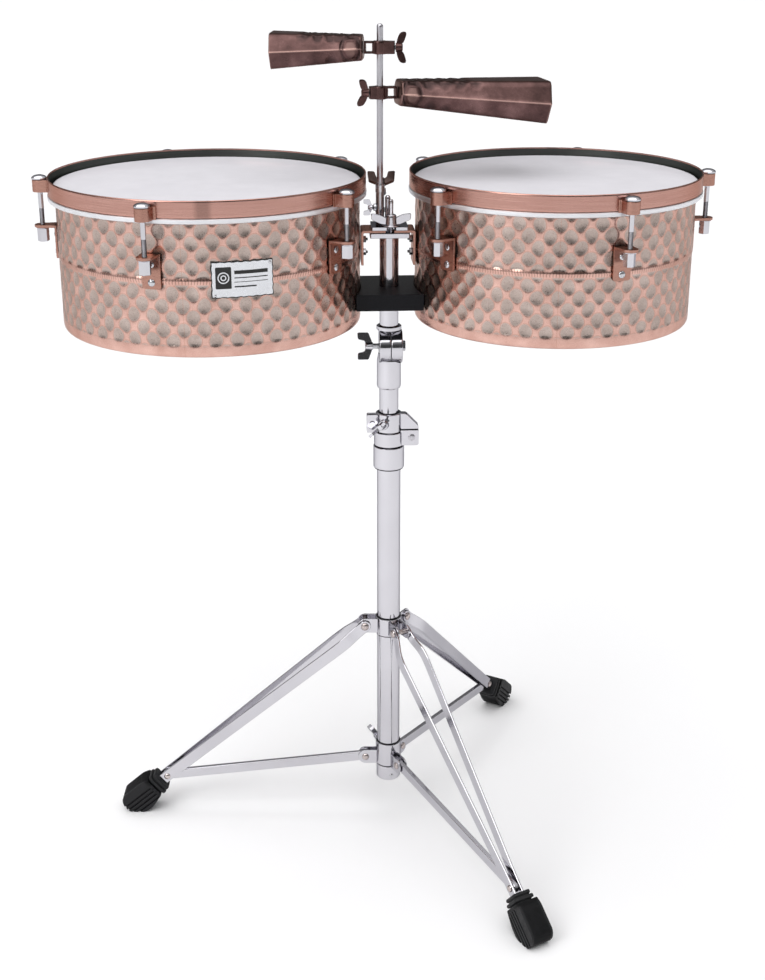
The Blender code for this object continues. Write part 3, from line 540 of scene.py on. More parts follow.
def wing(name, at, body, material, shape=CHROME_WING, hub=0.0046, high=0.0105, plate=0.0040,
         scale=1.0, shaft=0.0, shaft_r=0.0030, flange=0.0, twist=0.0, round_off=0.0022):
    """A wing bolt or nut: Z is the screw's axis, outwards; the wings lie along X."""
    bm = bmesh.new()
    profile = [(0.0, high), (hub * 0.72, high), (hub * 0.95, high - 0.0008), (hub, high - 0.0020)]
    profile += [(hub * 1.12, 0.0010), (hub * 1.12, 0.0)]
    if flange > 0.0:
        profile = profile[:-2] + [(hub * 1.1, 0.0022), (flange, 0.0016), (flange, 0.0)]
    profile += [(0.0, 0.0)]
    lathe(bm, [(r * scale, z * scale) for r, z in profile], 32)
    if shaft > 0.0:
        lathe(bm, [(0.0, 0.0), *[(r, z - shaft) for r, z in thread(0.0, shaft, shaft_r)],
                   (shaft_r * 0.8, -shaft), (0.0, -shaft)], 24, index=1)
    for side in (1.0, -1.0):
        outline = [(side * r * scale, s * scale) for s, r in shape]
        outline = rounded(outline if side > 0 else list(reversed(outline)), round_off * scale, 5)
        lean = rotate(twist * side, "X")
        prism(bm, outline, plate * scale, lean @ UPRIGHT)
    obj = finish_piece(name, bm, [material, THREAD_AND_RECESS_SHADE], body, at, bevel=0.0009 * scale, segments=3)
    return obj


# ---------------------------------------------------------------- drums

HOOP_BAND = 0.0205
HOOP_WALL = 0.0020
SHELL_WALL = 0.0015
DIMPLES = {"left": 48, "right": 45}
WELD_BEARING = {"left": 271.0, "right": 82.0}
SEAM_BEARING = {"left": 262.5, "right": 263.5}
ROW_SPACING = 0.0280
ROWS_ABOVE, ROWS_BELOW = 0.0176, 0.0145  # first row's distance above and below the bead
DIMPLE_R, DIMPLE_DEPTH = 0.0110, 0.00120


def shell(name):
    """The hammered shell: its dimples are in the mesh, and their place is kept for the material."""
    low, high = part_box(f"{name}_shell")
    centre = middle(f"{name}_shell")
    radius = (high[0] - low[0]) / 2.0 - 0.0006
    bottom, top = low[2], high[2]
    count = DIMPLES[name]
    columns = count * 14
    bead = bottom + BEAD_ABOVE
    heights = [bottom, bottom + 0.0006, bottom + 0.0016, bottom + 0.0030, bottom + 0.0045]
    steps = int((top - bottom - 0.0060) / 0.00160)
    heights += [bottom + 0.0060 + (top - bottom - 0.0060) * i / steps for i in range(steps + 1)]
    z = np.array(heights)
    across = np.arange(columns) / columns * count
    grid_u, grid_z = np.meshgrid(across, z)
    up = np.where(grid_z > bead, (grid_z - bead - ROWS_ABOVE) / ROW_SPACING,
                  (grid_z - bead + ROWS_BELOW) / (ROW_SPACING + 0.0004))
    turn = grid_u / count * 2.0 * np.pi
    wave_u = 0.030 * np.sin(9.0 * turn + 5.0 * up) + 0.020 * np.sin(23.0 * turn - 7.0 * up + 1.0)
    wave_v = 0.028 * np.sin(11.0 * turn + 2.0) + 0.018 * np.sin(31.0 * turn + 4.0 * up)
    fade = np.clip(np.minimum(grid_u, count - grid_u) * 1.5, 0.0, 1.0)
    lattice_u, lattice_v = grid_u + wave_u * fade, up + wave_v

    def nearest(shift_u, shift_v):
        du = np.abs(np.mod(lattice_u + shift_u, 1.0) - 0.5) * 0.0260
        dv = np.abs(np.mod(lattice_v + shift_v, 1.0) - 0.5) * 0.0266
        return (du ** 1.95 + dv ** 1.95) ** (1.0 / 1.95)

    distance = np.minimum(nearest(0.5, 0.0), nearest(0.0, 0.5))
    bowl = np.clip(1.0 - (distance / DIMPLE_R) ** 2, 0.0, 1.0) ** 1.6
    rows = np.clip((grid_z - bottom - 0.0115) / 0.004, 0.0, 1.0)
    rows *= np.clip((np.abs(grid_z - bead) - 0.0030) / 0.0020, 0.0, 1.0)
    depth = DIMPLE_DEPTH * bowl * rows
    roll = np.interp(grid_z - bottom, [0.0, 0.0006, 0.0016, 0.0030, 0.0045, 0.0060],
                     [0.0020, 0.0013, 0.0007, 0.0003, 0.0001, 0.0])
    swell = 0.0006 * np.exp(-(((grid_z - bead) / 0.0016) ** 2))
    r = radius - depth - roll + swell
    start = math.radians(SEAM_BEARING[name])
    x, y = r * np.cos(turn + start), r * np.sin(turn + start)
    outer = np.stack([x, y, grid_z - bottom], -1).reshape(-1, 3)
    inner_heights = [bottom, bottom + 0.0060, bottom + 0.06, bead, bottom + 0.14, top]
    inner_r = [radius - 0.0020 - SHELL_WALL, radius - 0.0030, radius - 0.0030, radius - 0.0030,
               radius - 0.0030, radius - 0.0030]
    ring = np.arange(columns) / columns * 2.0 * np.pi + start
    inner = np.concatenate([
        np.stack([ir * np.cos(ring), ir * np.sin(ring), np.full(columns, iz - bottom)], -1)
        for ir, iz in zip(inner_r, inner_heights)
    ])
    points = np.concatenate([outer, inner])
    rows_count = len(heights)
    column = np.arange(columns)
    beside = (column + 1) % columns
    faces, corner_u, corner_v, corner_z = [], [], [], []

    def strip(lower, upper, flip):
        a, b, c, d = lower + column, lower + beside, upper + beside, upper + column
        return np.stack([a, d, c, b] if flip else [a, b, c, d], -1)

    for i in range(rows_count - 1):
        faces.append(strip(i * columns, (i + 1) * columns, False))
        wrap = np.where(column == columns - 1, float(count), lattice_u[i][beside])
        wrap_up = np.where(column == columns - 1, float(count), lattice_u[i + 1][beside])
        corner_u.append(np.stack([lattice_u[i], wrap, wrap_up, lattice_u[i + 1]], -1))
        corner_v.append(np.stack([lattice_v[i], lattice_v[i][beside], lattice_v[i + 1][beside],
                                  lattice_v[i + 1]], -1))
        low_z, high_z = np.full(columns, z[i] - bottom), np.full(columns, z[i + 1] - bottom)
        corner_z.append(np.stack([low_z, low_z, high_z, high_z], -1))
    outer_faces = (rows_count - 1) * columns
    base = rows_count * columns
    for i in range(len(inner_heights) - 1):
        faces.append(strip(base + i * columns, base + (i + 1) * columns, True))
    faces.append(strip((rows_count - 1) * columns, base + (len(inner_heights) - 1) * columns, False))
    faces.append(strip(base, 0, False))
    faces = np.concatenate(faces)
    mesh = bpy.data.meshes.new(f"{name}_hammered_shell")
    mesh.from_pydata(points.tolist(), [], faces.tolist())
    lattice = np.zeros((len(faces) * 4, 3), np.float32)
    lattice[:outer_faces * 4, 0] = np.concatenate(corner_u).reshape(-1)
    lattice[:outer_faces * 4, 1] = np.concatenate(corner_v).reshape(-1)
    lattice[:outer_faces * 4, 2] = np.concatenate(corner_z).reshape(-1)
    mesh.attributes.new("lattice", "FLOAT_VECTOR", "CORNER").data.foreach_set("vector", lattice.reshape(-1))
    slots = np.zeros(len(faces), np.int32)
    slots[outer_faces:] = 1
    obj = finish_mesh(f"{name}_hammered_shell", mesh, [HAMMERED, PLATE_COPPER], "drum_frame",
                      move(centre.x, centre.y, bottom), 60.0)
    mesh.polygons.foreach_set("material_index", slots)
    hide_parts(f"{name}_shell")
    return centre, radius


def drumhead(name, centre, shell_r):
    """The film, its tucked collar and the aluminium flesh hoop."""
    low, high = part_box(f"{name}_drumhead")
    hoop_r = (high[0] - low[0]) / 2.0
    top, bottom = high[2], low[2]
    at = move(centre.x, centre.y, 0.0)
    bm = bmesh.new()
    film_r = hoop_r - HOOP_WALL - 0.0004
    profile = [(0.0, top)] + [(film_r * i / 12.0, top) for i in range(1, 12)]
    profile += [(shell_r - 0.0010, top), (shell_r + 0.0008, top - 0.0003), (shell_r + 0.0018, top - 0.0014)]
    profile += [(shell_r + 0.0020, bottom + 0.0040), (shell_r + 0.0006, bottom + 0.0040)]
    profile += [(shell_r + 0.0006, top - 0.0015), (0.0, top - 0.0015)]
    lathe(bm, profile, 160, at)
    obj = finish_piece(f"{name}_film", bm, FILM, "drum_frame", angle=50.0)
    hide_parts(f"{name}_drumhead")
    bm = bmesh.new()
    outer = hoop_r + 0.0006
    height = 0.0066
    profile = [(outer - 0.0012, bottom + height), (outer, bottom + height - 0.0010), (outer, bottom + 0.0010)]
    profile += [(outer - 0.0012, bottom), (shell_r + 0.0012, bottom), (shell_r + 0.0012, bottom + height)]
    lathe(bm, profile, 160, at, closed=True)
    finish_piece(f"{name}_flesh_hoop", bm, ALUMINIUM, "drum_frame", angle=40.0)
    return hoop_r


def hoop(name, centre, hoop_r):
    """The counter hoop: a brushed band, bright rolled top edge, dark inner wall."""
    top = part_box(f"{name}_hoop")[1][2]
    low = top - HOOP_BAND
    inner = hoop_r - HOOP_WALL
    bm = bmesh.new()
    profile = [(inner + 0.0006, top), (hoop_r - 0.0006, top), (hoop_r, top - 0.0007), (hoop_r, low + 0.0007)]
    profile += [(hoop_r - 0.0006, low), (inner + 0.0004, low), (inner, low + 0.0006)]
    weld = bm.verts.layers.float.new("weld")
    lathe(bm, profile, 192, move(centre.x, centre.y, 0.0), closed=True)
    bm.faces.ensure_lookup_table()
    for face in bm.faces:
        middle_point = face.calc_center_median()
        reach = math.hypot(middle_point.x - centre.x, middle_point.y - centre.y)
        face.material_index = 1 if reach < inner + 0.0004 else 0
    for vert in bm.verts:
        turn = math.degrees(math.atan2(vert.co.y - centre.y, vert.co.x - centre.x)) % 360.0
        vert[weld] = max(0.0, 1.0 - abs(turn - WELD_BEARING[name]) / 5.0)
    obj = finish_piece(f"{name}_counter_hoop", bm, [HOOP_COPPER, GUNMETAL], "drum_frame",
                       angle=50.0)
    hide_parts(f"{name}_hoop")
    return top


def ear(name, number, at, hoop_r, reach, top):
    """The strap ear that holds a tension rod's head, bent from plate and welded to the hoop."""
    bm = bmesh.new()
    half = 0.0092
    face = hoop_r - 0.0002
    outline = [(face, -half - 0.0030), (face + 0.0016, -half - 0.0030), (face + 0.0022, -half)]
    outline += arc(reach, 0.0, half, -90.0, 90.0, 16)
    outline += [(face + 0.0022, half), (face + 0.0016, half + 0.0030), (face, half + 0.0030)]
    hole = arc(reach, 0.0, 0.0036, 0.0, 360.0 - 20.0, 17)
    height = 0.0150
    prism(bm, outline, height, at @ move(0.0, 0.0, top - 0.0070 - height / 2.0), holes=[hole])
    finish_piece(f"{name}_ear_{number}", bm, PLATE_COPPER, "drum_frame", bevel=0.0007,
                 segments=3)


def lug(name, number, at, shell_r, reach):
    """The shell's angle bracket: a rounded plate and a round tab, bent from one strip."""
    low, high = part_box(f"{name}_lug_{number}")
    bm = bmesh.new()
    face, plate, half = shell_r + 0.0010, 0.0025, 0.01175
    height = high[2] - low[2]
    corners = ring_outline(-half, half, height, 0.0)
    outline = rounded(corners, [0.0040, 0.0040, 0.0004, 0.0004], 5)
    turn = Matrix(((0.0, 0.0, 1.0, face + plate / 2.0), (1.0, 0.0, 0.0, 0.0), (0.0, 1.0, 0.0, low[2]),
                   (0.0, 0.0, 0.0, 1.0)))
    prism(bm, outline, plate, at @ turn)
    tab = 0.0030
    shape = [(face, -half + 0.0004), (face + 0.0045, -half + 0.0004), (reach - 0.0035, -0.0098)]
    shape += arc(reach, 0.0, 0.0100, -82.0, 82.0, 14)
    shape += [(reach - 0.0035, 0.0098), (face + 0.0045, half - 0.0004), (face, half - 0.0004)]
    prism(bm, shape, tab, at @ move(0.0, 0.0, high[2] - tab / 2.0),
          holes=[arc(reach, 0.0, 0.0036, 0.0, 340.0, 17)])
    obj = finish_piece(f"{name}_lug_bracket_{number}", bm, PLATE_COPPER, "drum_frame",
                       bevel=0.0006, segments=3)
    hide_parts(f"{name}_lug_{number}")
    for k, z in enumerate((low[2] + 0.0078, high[2] - 0.0125)):
        small_screw(f"{name}_lug_screw_{number}_{k + 1}", 0.0044,
                    at @ move(face + plate, 0.0, z) @ rotate(90.0, "Y"),
                    "drum_frame")


def tension_rod(name, number):
    """Domed head, bright shank, dark thread, washer and hexagon nut."""
    node = f"{name}_rod_{number}"
    low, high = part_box(node)
    centre = middle(node)
    at = move(centre.x, centre.y, 0.0)
    under_head = high[2] - 0.0030
    tab_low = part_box(f"{name}_lug_{number}")[1][2] - 0.0034
    bm = bmesh.new()
    dome(bm, 0.0096, 0.0036, at @ move(0.0, 0.0, under_head + 0.0002), 36, base=0.0016)
    middle_z = (under_head + tab_low) / 2.0 - 0.0065
    lathe(bm,
          [(0.0, under_head + 0.0004), (0.0032, under_head + 0.0002), (0.0032, middle_z), (0.0, middle_z)],
          28, at)
    lathe(bm, [(0.0, middle_z + 0.0002), *thread(low[2] + 0.0012, middle_z + 0.0002, 0.0031),
               (0.0, low[2] + 0.0012)],
          28, at, index=1)
    lathe(bm, [(0.0, tab_low - 0.0001), (0.0078, tab_low - 0.0001), (0.0082, tab_low - 0.0005),
               (0.0082, tab_low - 0.0012), (0.0, tab_low - 0.0012)], 32, at)
    hexagon(bm, 0.0128, low[2] + 0.0003, tab_low - 0.0012, at @ rotate(12.0 * number, "Z"))
    obj = finish_piece(f"{name}_tension_rod_{number}", bm, [CHROME, THREAD_AND_RECESS_SHADE], f"{name}_tension_{number}")
    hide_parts(node)


def badge(centre, radius, bottom):
    """A plain metal badge, curved to the shell: a dark square with rings, and three rules beside it."""
    middle_z = bottom + BEAD_ABOVE + 0.0020
    at_degrees = 284.0
    half_w, half_h = 0.0370, 0.0215

    def curved(bm, outline, thickness, lift, index, holes=(), cuts=6):
        part = bmesh.new()
        prism(part, outline, thickness, holes=holes)
        if cuts:
            bmesh.ops.subdivide_edges(part, edges=[e for e in part.edges if e.calc_length() > 0.006],
                                      cuts=cuts, use_grid_fill=True)
        bmesh.ops.triangulate(part, faces=part.faces)
        for vert in part.verts:
            x, y, z = vert.co
            reach = radius + 0.0007 + lift + z
            turn = math.radians(at_degrees) + x / radius
            vert.co = (centre.x + reach * math.cos(turn), centre.y + reach * math.sin(turn), middle_z + y)
        for face in part.faces:
            face.material_index = index
        mesh = bpy.data.meshes.new("part")
        part.to_mesh(mesh)
        part.free()
        bm.from_mesh(mesh)
        bpy.data.meshes.remove(mesh)

    def wavy(w, h, wave):
        points = []
        for x0, y0, x1, y1, n in ((-w, -h, w, -h, 24), (w, -h, w, h, 14), (w, h, -w, h, 24),
                                  (-w, h, -w, -h, 14)):
            for i in range(n):
                t = i / n
                ripple = wave * math.sin(t * n * 1.9)
                nx, ny = (0.0, 1.0) if y0 == y1 else (1.0, 0.0)
                points.append((x0 + (x1 - x0) * t + nx * ripple, y0 + (y1 - y0) * t + ny * ripple))
        return points

    bm = bmesh.new()
    curved(bm, wavy(half_w, half_h, 0.0005), 0.0010, 0.0000, 0)
    curved(bm, wavy(half_w - 0.0012, half_h - 0.0012, 0.0004), 0.0010, 0.0003, 1)
    square = rounded(ring_outline(-0.0320, -0.0135, 0.0150, -0.0105), 0.0012)
    curved(bm, square, 0.0008, 0.0007, 0)
    for r in (0.0068, 0.0034):
        ring, hole = (arc(-0.0228, 0.0025, edge, 0.0, 352.0, 44) for edge in (r, r - 0.0013))
        curved(bm, ring, 0.0006, 0.0012, 1, holes=[hole], cuts=0)
    for y, w, t in ((0.0085, 0.0200, 0.0042), (0.0020, 0.0200, 0.0011), (-0.0030, 0.0200, 0.0006),
                    (-0.0085, 0.0130, 0.0016)):
        bar = [(-0.0100, y - t / 2), (-0.0100 + w * 2.0, y - t / 2), (-0.0100 + w * 2.0, y + t / 2),
               (-0.0100, y + t / 2)]
        curved(bm, bar, 0.0006, 0.0008, 0)
    finish_piece("left_badge", bm, [BADGE_BLACK, BADGE_SILVER], "drum_frame", angle=25.0)
    for k, (sx, sy) in enumerate(((0.0330, 0.0178), (-0.0330, -0.0180))):
        turn = at_degrees + math.degrees(sx / radius)
        at = bearing(turn, Vector((centre.x, centre.y, 0.0))) @ Matrix.Translation(
            (radius + 0.0015, 0.0, middle_z + sy)) @ rotate(90.0, "Y")
        bm = bmesh.new()
        dome(bm, 0.0018, 0.0008, at, 16)
        finish_piece(f"badge_pin_{k + 1}", bm, STEEL, "drum_frame")


def bracket(name):
    """The angle bracket between shell and post, with its two bolts and square nuts."""
    inward = SIDES[name]
    low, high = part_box(f"{name}_bracket")
    outer = low[0] if inward > 0 else high[0]
    tip = high[0] if inward > 0 else low[0]
    t = 0.0030
    bm = bmesh.new()
    width = high[1] - low[1]
    corners = [(0.0, 0.0), (t, 0.0), (t, high[2] - low[2] - t), (abs(tip - outer), high[2] - low[2] - t),
               (abs(tip - outer), high[2] - low[2]), (0.0, high[2] - low[2])]
    outline = rounded(corners, [0.0005, 0.0005, 0.0015, 0.0005, 0.0005, 0.0032], 4)
    turn = Matrix(((inward, 0.0, 0.0, outer), (0.0, 0.0, 1.0, (low[1] + high[1]) / 2.0),
                   (0.0, 1.0, 0.0, low[2]), (0.0, 0.0, 0.0, 1.0)))
    prism(bm, outline, width - 0.001, turn)
    bmesh.ops.recalc_face_normals(bm, faces=bm.faces)
    obj = finish_piece(f"{name}_angle_bracket", bm, PLATE_COPPER, "drum_frame",
                       bevel=0.0006)
    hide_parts(f"{name}_bracket")
    bm = bmesh.new()
    for z in (0.8445, 0.8280):
        at = along(Vector((outer + inward * t, AXIS.y - 0.0030, z)), (inward, 0.0, 0.0), 45.0 + 9.0)
        hexagon(bm, 0.0080, 0.0, 0.0038, at)
        lathe(bm, [(0.0, 0.0062), (0.0016, 0.0061), *thread(0.0, 0.0060, 0.0019), (0.0, 0.0)], 16, at,
              index=1)
    finish_piece(f"{name}_bracket_nuts", bm, [STEEL, THREAD_AND_RECESS_SHADE], "drum_frame")


def make_drum(name):
    centre, shell_r = shell(name)
    hoop_r = drumhead(name, centre, shell_r)
    top = hoop(name, centre, hoop_r)
    for number in range(1, LUGS + 1):
        rod_at = middle(f"{name}_rod_{number}")
        reach = math.hypot(rod_at.x - centre.x, rod_at.y - centre.y)
        degrees = math.degrees(math.atan2(rod_at.y - centre.y, rod_at.x - centre.x))
        at = bearing(degrees, Vector((centre.x, centre.y, 0.0)))
        ear(name, number, at, hoop_r, reach, top)
        lug(name, number, at, shell_r, reach)
        tension_rod(name, number)
    bracket(name)
    if name == "left":
        badge(centre, shell_r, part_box("left_shell")[0][2])


# ---------------------------------------------------------------- tripod


def leg_bearing(name):
    flat = Vector(JOINTS[f"{name}_leg_fold"]["pos_m"]) - AXIS
    return math.degrees(math.atan2(flat.y, flat.x))


def leg_plane(name):
    """(frame at the foot rivet whose X runs down the leg, the leg's length)."""
    pivot = Vector(JOINTS[f"{name}_leg_fold"]["pos_m"])
    collar = Vector(JOINTS[f"{name}_brace_fold"]["pos_m"])
    top = Vector((collar.x, collar.y, middle("upper_leg_collar").z + 0.0005))
    down = pivot - top
    length = down.length
    lean = math.atan2(-down.z, math.hypot(down.x, down.y))
    return Matrix.Translation(pivot) @ rotate(leg_bearing(name), "Z") @ Matrix.Rotation(lean, 4, "Y"), length


def bent(points, steps=5, radius=0.016):
    """An open path with its corners made round."""
    out = [points[0]]
    for before, here, after in zip(points, points[1:], points[2:]):
        b, h, a = Vector(before), Vector(here), Vector(after)
        start = h + (b - h).normalized() * min(radius, (b - h).length * 0.45)
        end = h + (a - h).normalized() * min(radius, (a - h).length * 0.45)
        for k in range(steps + 1):
            t = k / steps
            out.append(tuple(start * (1 - t) ** 2 + h * 2 * t * (1 - t) + end * t ** 2))
    return out + [points[-1]]


def strip_section(s, y, half, tall, chamfer=0.0005):
    """A flat bar's section at distance s: half-thickness across, half-height tall."""
    c = min(chamfer, half * 0.6, tall * 0.6)
    ring = [(-half, -tall + c), (-half + c, -tall), (half - c, -tall), (half, -tall + c), (half, tall - c),
            (half - c, tall), (-half + c, tall), (-half, tall - c)]
    return [Vector((s, y + dy, dz)) for dy, dz in ring]


def leg(name):
    at, length = leg_plane(name)
    body = f"{name}_leg_arm"
    tall, half = 0.0081, 0.0012
    path = bent([(-length, 0.0111), (-length + 0.0130, 0.0111), (-length + 0.0380, 0.0196), (-0.0120, 0.0056),
                 (0.0150, 0.0056)])
    bm = bmesh.new()
    for side in (1.0, -1.0):
        sections = []
        for k in range(8):
            a = math.radians(90.0 * k / 8.0)
            s = -length - tall * math.cos(a)
            sections.append(strip_section(s, side * path[0][1], half, max(0.0004, tall * math.sin(a))))
        sections += [strip_section(s, side * y, half, tall) for s, y in path]
        if side < 0:
            sections = [list(reversed(section)) for section in sections]
        loft(bm, sections)
    bmesh.ops.transform(bm, matrix=at, verts=bm.verts)
    bmesh.ops.recalc_face_normals(bm, faces=bm.faces)
    obj = finish_piece(f"{name}_leg_strips", bm, CHROME, body, angle=30.0)
    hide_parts(f"{name}_leg")
    bm = bmesh.new()
    across = rotate(90.0, "X")
    for side in (1.0, -1.0):
        flip = rotate(-90.0 * side, "X")
        for s, y, r in ((0.0, 0.0068, 0.0046), (-length, 0.0123, 0.0056)):
            dome(bm, r, r * 0.42, at @ move(s, side * y, 0.0) @ flip, 24)
    lathe(bm, pin_outline(0.0030, -0.0066, 0.0066), 20, at @ across)
    lathe(bm, pin_outline(0.0034, -0.0120, 0.0120), 20,
          at @ move(-length, 0.0, 0.0) @ across)
    finish_piece(f"{name}_leg_rivets", bm, RIVET, body)
    boot(name, at, body)


BOOT_OUTLINE = ((0.0232, -0.0140), (0.0444, -0.0206), (0.0600, -0.0207), (0.0776, -0.0059), (0.0785, 0.0085),
                (0.0705, 0.0192), (0.0330, 0.0196), (0.0232, 0.0162))
BOOT_CORNERS = (0.0020, 0.0080, 0.0060, 0.0050, 0.0070, 0.0060, 0.0040, 0.0020)
BOOT_RIBS = (-0.0300, -0.0154, -0.0127, -0.0092, -0.0065, -0.0030, -0.0003, 0.0032, 0.0059, 0.0300)
BOOT_GROOVE_START = 0.0280


def clipped(outline, axis, low, high):
    """The part of a convex outline between two lines across one axis."""
    for limit, sign in ((low, 1.0), (high, -1.0)):
        kept = []
        for first, second in zip(outline, outline[1:] + outline[:1]):
            a, b = (first[axis] - limit) * sign, (second[axis] - limit) * sign
            if a >= 0.0:
                kept.append(first)
            if a * b < 0.0:
                t = a / (a - b)
                kept.append(tuple(p + (q - p) * t for p, q in zip(first, second)))
        outline = kept
    return outline


def boot(name, at, body):
    """The rubber boot: a slim core, ribs that stand out on both its sides, two rings round its neck."""
    half, core = 0.0163, 0.0134
    outline = rounded(BOOT_OUTLINE, BOOT_CORNERS, 5)
    bm = bmesh.new()
    prism(bm, outline, core * 2.0)
    prism(bm, clipped(outline, 0, -1.0, BOOT_GROOVE_START), half * 2.0)
    for low_edge, high_edge in zip(BOOT_RIBS[::2], BOOT_RIBS[1::2]):
        prism(bm, clipped(outline, 1, low_edge, high_edge), half * 2.0)
    bmesh.ops.transform(bm, matrix=at @ UPRIGHT, verts=bm.verts)
    obj = finish_piece(f"{name}_rubber_boot", bm, RUBBER, body, bevel=0.0013, segments=3)
    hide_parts(f"{name}_foot")
    bm = bmesh.new()
    across = rotate(90.0, "Y")
    for s, tall, wide, thick in ((0.0125, 0.0150, 0.0132, 0.0048), (0.0190, 0.0166, 0.0146, 0.0050),
                                 (0.0175, 0.0132, 0.0116, 0.0140)):
        ring = rounded(ring_outline(-tall, tall, wide, -wide), 0.0060, 6)
        prism(bm, ring, thick, move(s, 0.0, 0.0) @ across)
    bmesh.ops.transform(bm, matrix=at, verts=bm.verts)
    finish_piece(f"{name}_boot_collar", bm, RUBBER, body, bevel=0.0017, segments=3)


def brace(name):
    collar = Vector(JOINTS[f"{name}_brace_fold"]["pos_m"])
    body = f"{name}_brace_arm"
    down = Vector(JOINTS[f"{name}_leg_fold"]["pos_m"]) - collar
    reach = down.length
    lean = math.atan2(-down.z, math.hypot(down.x, down.y))
    place = Matrix.Translation(collar) @ rotate(leg_bearing(name), "Z") @ Matrix.Rotation(lean, 4, "Y")
    r = 0.0070
    outline = arc(0.0, 0.0, r, 90.0, 270.0, 12) + arc(reach, 0.0, r, -90.0, 90.0, 12)
    bm = bmesh.new()
    prism(bm, outline, 0.0066, UPRIGHT)
    bmesh.ops.transform(bm, matrix=place, verts=bm.verts)
    obj = finish_piece(f"{name}_brace_bar", bm, CHROME, body, bevel=0.0013, segments=3)
    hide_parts(f"{name}_brace")


def collar_ears(bm, degrees, pivot_z, outer, thick, radius, index=0):
    shape = [(0.0150, pivot_z - radius)] + arc(0.0330, pivot_z, radius, -90.0, 90.0, 16)
    shape += [(0.0150, pivot_z + radius)]
    for side in (1.0, -1.0):
        turn = bearing(degrees) @ move(0.0, side * (outer - thick / 2.0), 0.0) @ UPRIGHT
        prism(bm, shape, thick, turn, index)


def tripod():
    low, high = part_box("base_tube")
    at = Matrix.Translation(AXIS)
    outer, cap = 0.0159, (high[0] - low[0]) / 2.0
    cap_top = low[2] + 0.0228
    bm = bmesh.new()
    profile = [(outer - 0.0012, high[2]), (outer - 0.0004, high[2] - 0.0002), (outer, high[2] - 0.0008)]
    profile += [(outer, cap_top), (outer, low[2] + 0.004), (outer - 0.0016, low[2] + 0.004),
                (outer - 0.0016, high[2] - 0.0006)]
    lathe(bm, profile, 72, at, closed=True)
    obj = finish_piece("base_tube_visual", bm, CHROME, "stand")
    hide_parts("base_tube")
    bm = bmesh.new()
    profile = [(outer + 0.0001, cap_top), (cap - 0.0004, cap_top), (cap, cap_top - 0.0006),
               (cap, low[2] + 0.0025)]
    profile += [(cap - 0.0012, low[2] + 0.0006), (cap - 0.0030, low[2]), (outer - 0.0040, low[2]),
                (outer - 0.0040, low[2] + 0.004), (outer + 0.0001, low[2] + 0.0040)]
    lathe(bm, profile, 72, at, closed=True)
    finish_piece("end_cap", bm, CHROME, "stand")
    small_screw("end_cap_screw", 0.0030, bearing(282.0) @ move(cap - 0.0003, 0.0, low[2] + 0.0085)
                @ rotate(90.0, "Y"), "stand")

    low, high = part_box("upper_leg_collar")
    pivot_z = middle("upper_leg_collar").z + 0.0005
    bm = bmesh.new()
    profile = [(0.0163, high[2]), (0.0176, high[2]), (0.0182, high[2] - 0.0007), (0.0182, low[2] + 0.0007),
               (0.0176, low[2]), (0.0163, low[2])]
    lathe(bm, profile, 72, at, closed=True)
    for name in LEGS:
        collar_ears(bm, leg_bearing(name), pivot_z, 0.0095, 0.0025, 0.0105)
    obj = finish_piece("upper_collar", bm, CHROME, "stand", bevel=0.0005)
    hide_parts("upper_leg_collar")
    bm = bmesh.new()
    for z in (high[2], low[2] - 0.0010):
        lathe(bm, ring_outline(0.0160, 0.0172, z, z + 0.0012), 64, at, closed=True)
    finish_piece("upper_collar_bushes", bm, PLASTIC, "stand")

    low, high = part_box("brace_collar")
    pivot_z = JOINTS["left_brace_fold"]["pos_m"][2]
    bm = bmesh.new()
    base = low[2] + 0.0012
    profile = [(0.0163, high[2]), (0.0176, high[2]), (0.0182, high[2] - 0.0007), (0.0182, base + 0.0007),
               (0.0176, base), (0.0163, base)]
    lathe(bm, profile, 72, at, closed=True)
    for name in LEGS:
        collar_ears(bm, leg_bearing(name), pivot_z, 0.0062, 0.0020, 0.0105)
    screw = middle("collar_wing_screw")
    degrees = math.degrees(math.atan2(screw.y - AXIS.y, screw.x - AXIS.x))
    boss = along(AXIS + Vector((0.0, 0.0, screw.z)),
                 (math.cos(math.radians(degrees)), math.sin(math.radians(degrees)), 0.0))
    lathe(bm, [(0.0, 0.0245), (0.0062, 0.0245), (0.0070, 0.0237), (0.0070, 0.0168), (0.0, 0.0168)], 32, boss)
    obj = finish_piece("brace_collar_visual", bm, CHROME, "brace_slider", bevel=0.0005)
    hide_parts("brace_collar")
    bm = bmesh.new()
    lathe(bm, [(0.0162, base), (0.0176, base), (0.0176, low[2]), (0.0162, low[2])], 64, at, closed=True)
    lathe(bm, [(0.0162, high[2] + 0.0010), (0.0172, high[2] + 0.0010), (0.0172, high[2]), (0.0162, high[2])],
          64, at,
          closed=True)
    finish_piece("brace_collar_bushes", bm, PLASTIC, "brace_slider")
    bm = bmesh.new()
    for name in LEGS:
        turn = bearing(leg_bearing(name))
        for side in (1.0, -1.0):
            flip = rotate(-90.0 * side, "X")
            dome(bm, 0.0050, 0.0020, turn @ move(0.0330, side * 0.0062, pivot_z) @ flip, 24)
        lathe(bm, pin_outline(0.0026, -0.0062, 0.0062), 20,
              turn @ move(0.0330, 0.0, pivot_z) @ UPRIGHT)
    finish_piece("brace_rivets", bm, RIVET, "brace_slider")
    obj = wing("collar_screw_wings", boss @ move(0.0, 0.0, 0.0280)
               @ rotate(60.0, "Z"), "collar_screw", CHROME,
               shape=ROD_WING, scale=0.80, shaft=0.0028, plate=0.0080)
    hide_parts("collar_wing_screw")
    for name in LEGS:
        leg(name)
        brace(name)


# ---------------------------------------------------------------- mast, clamp and tilter


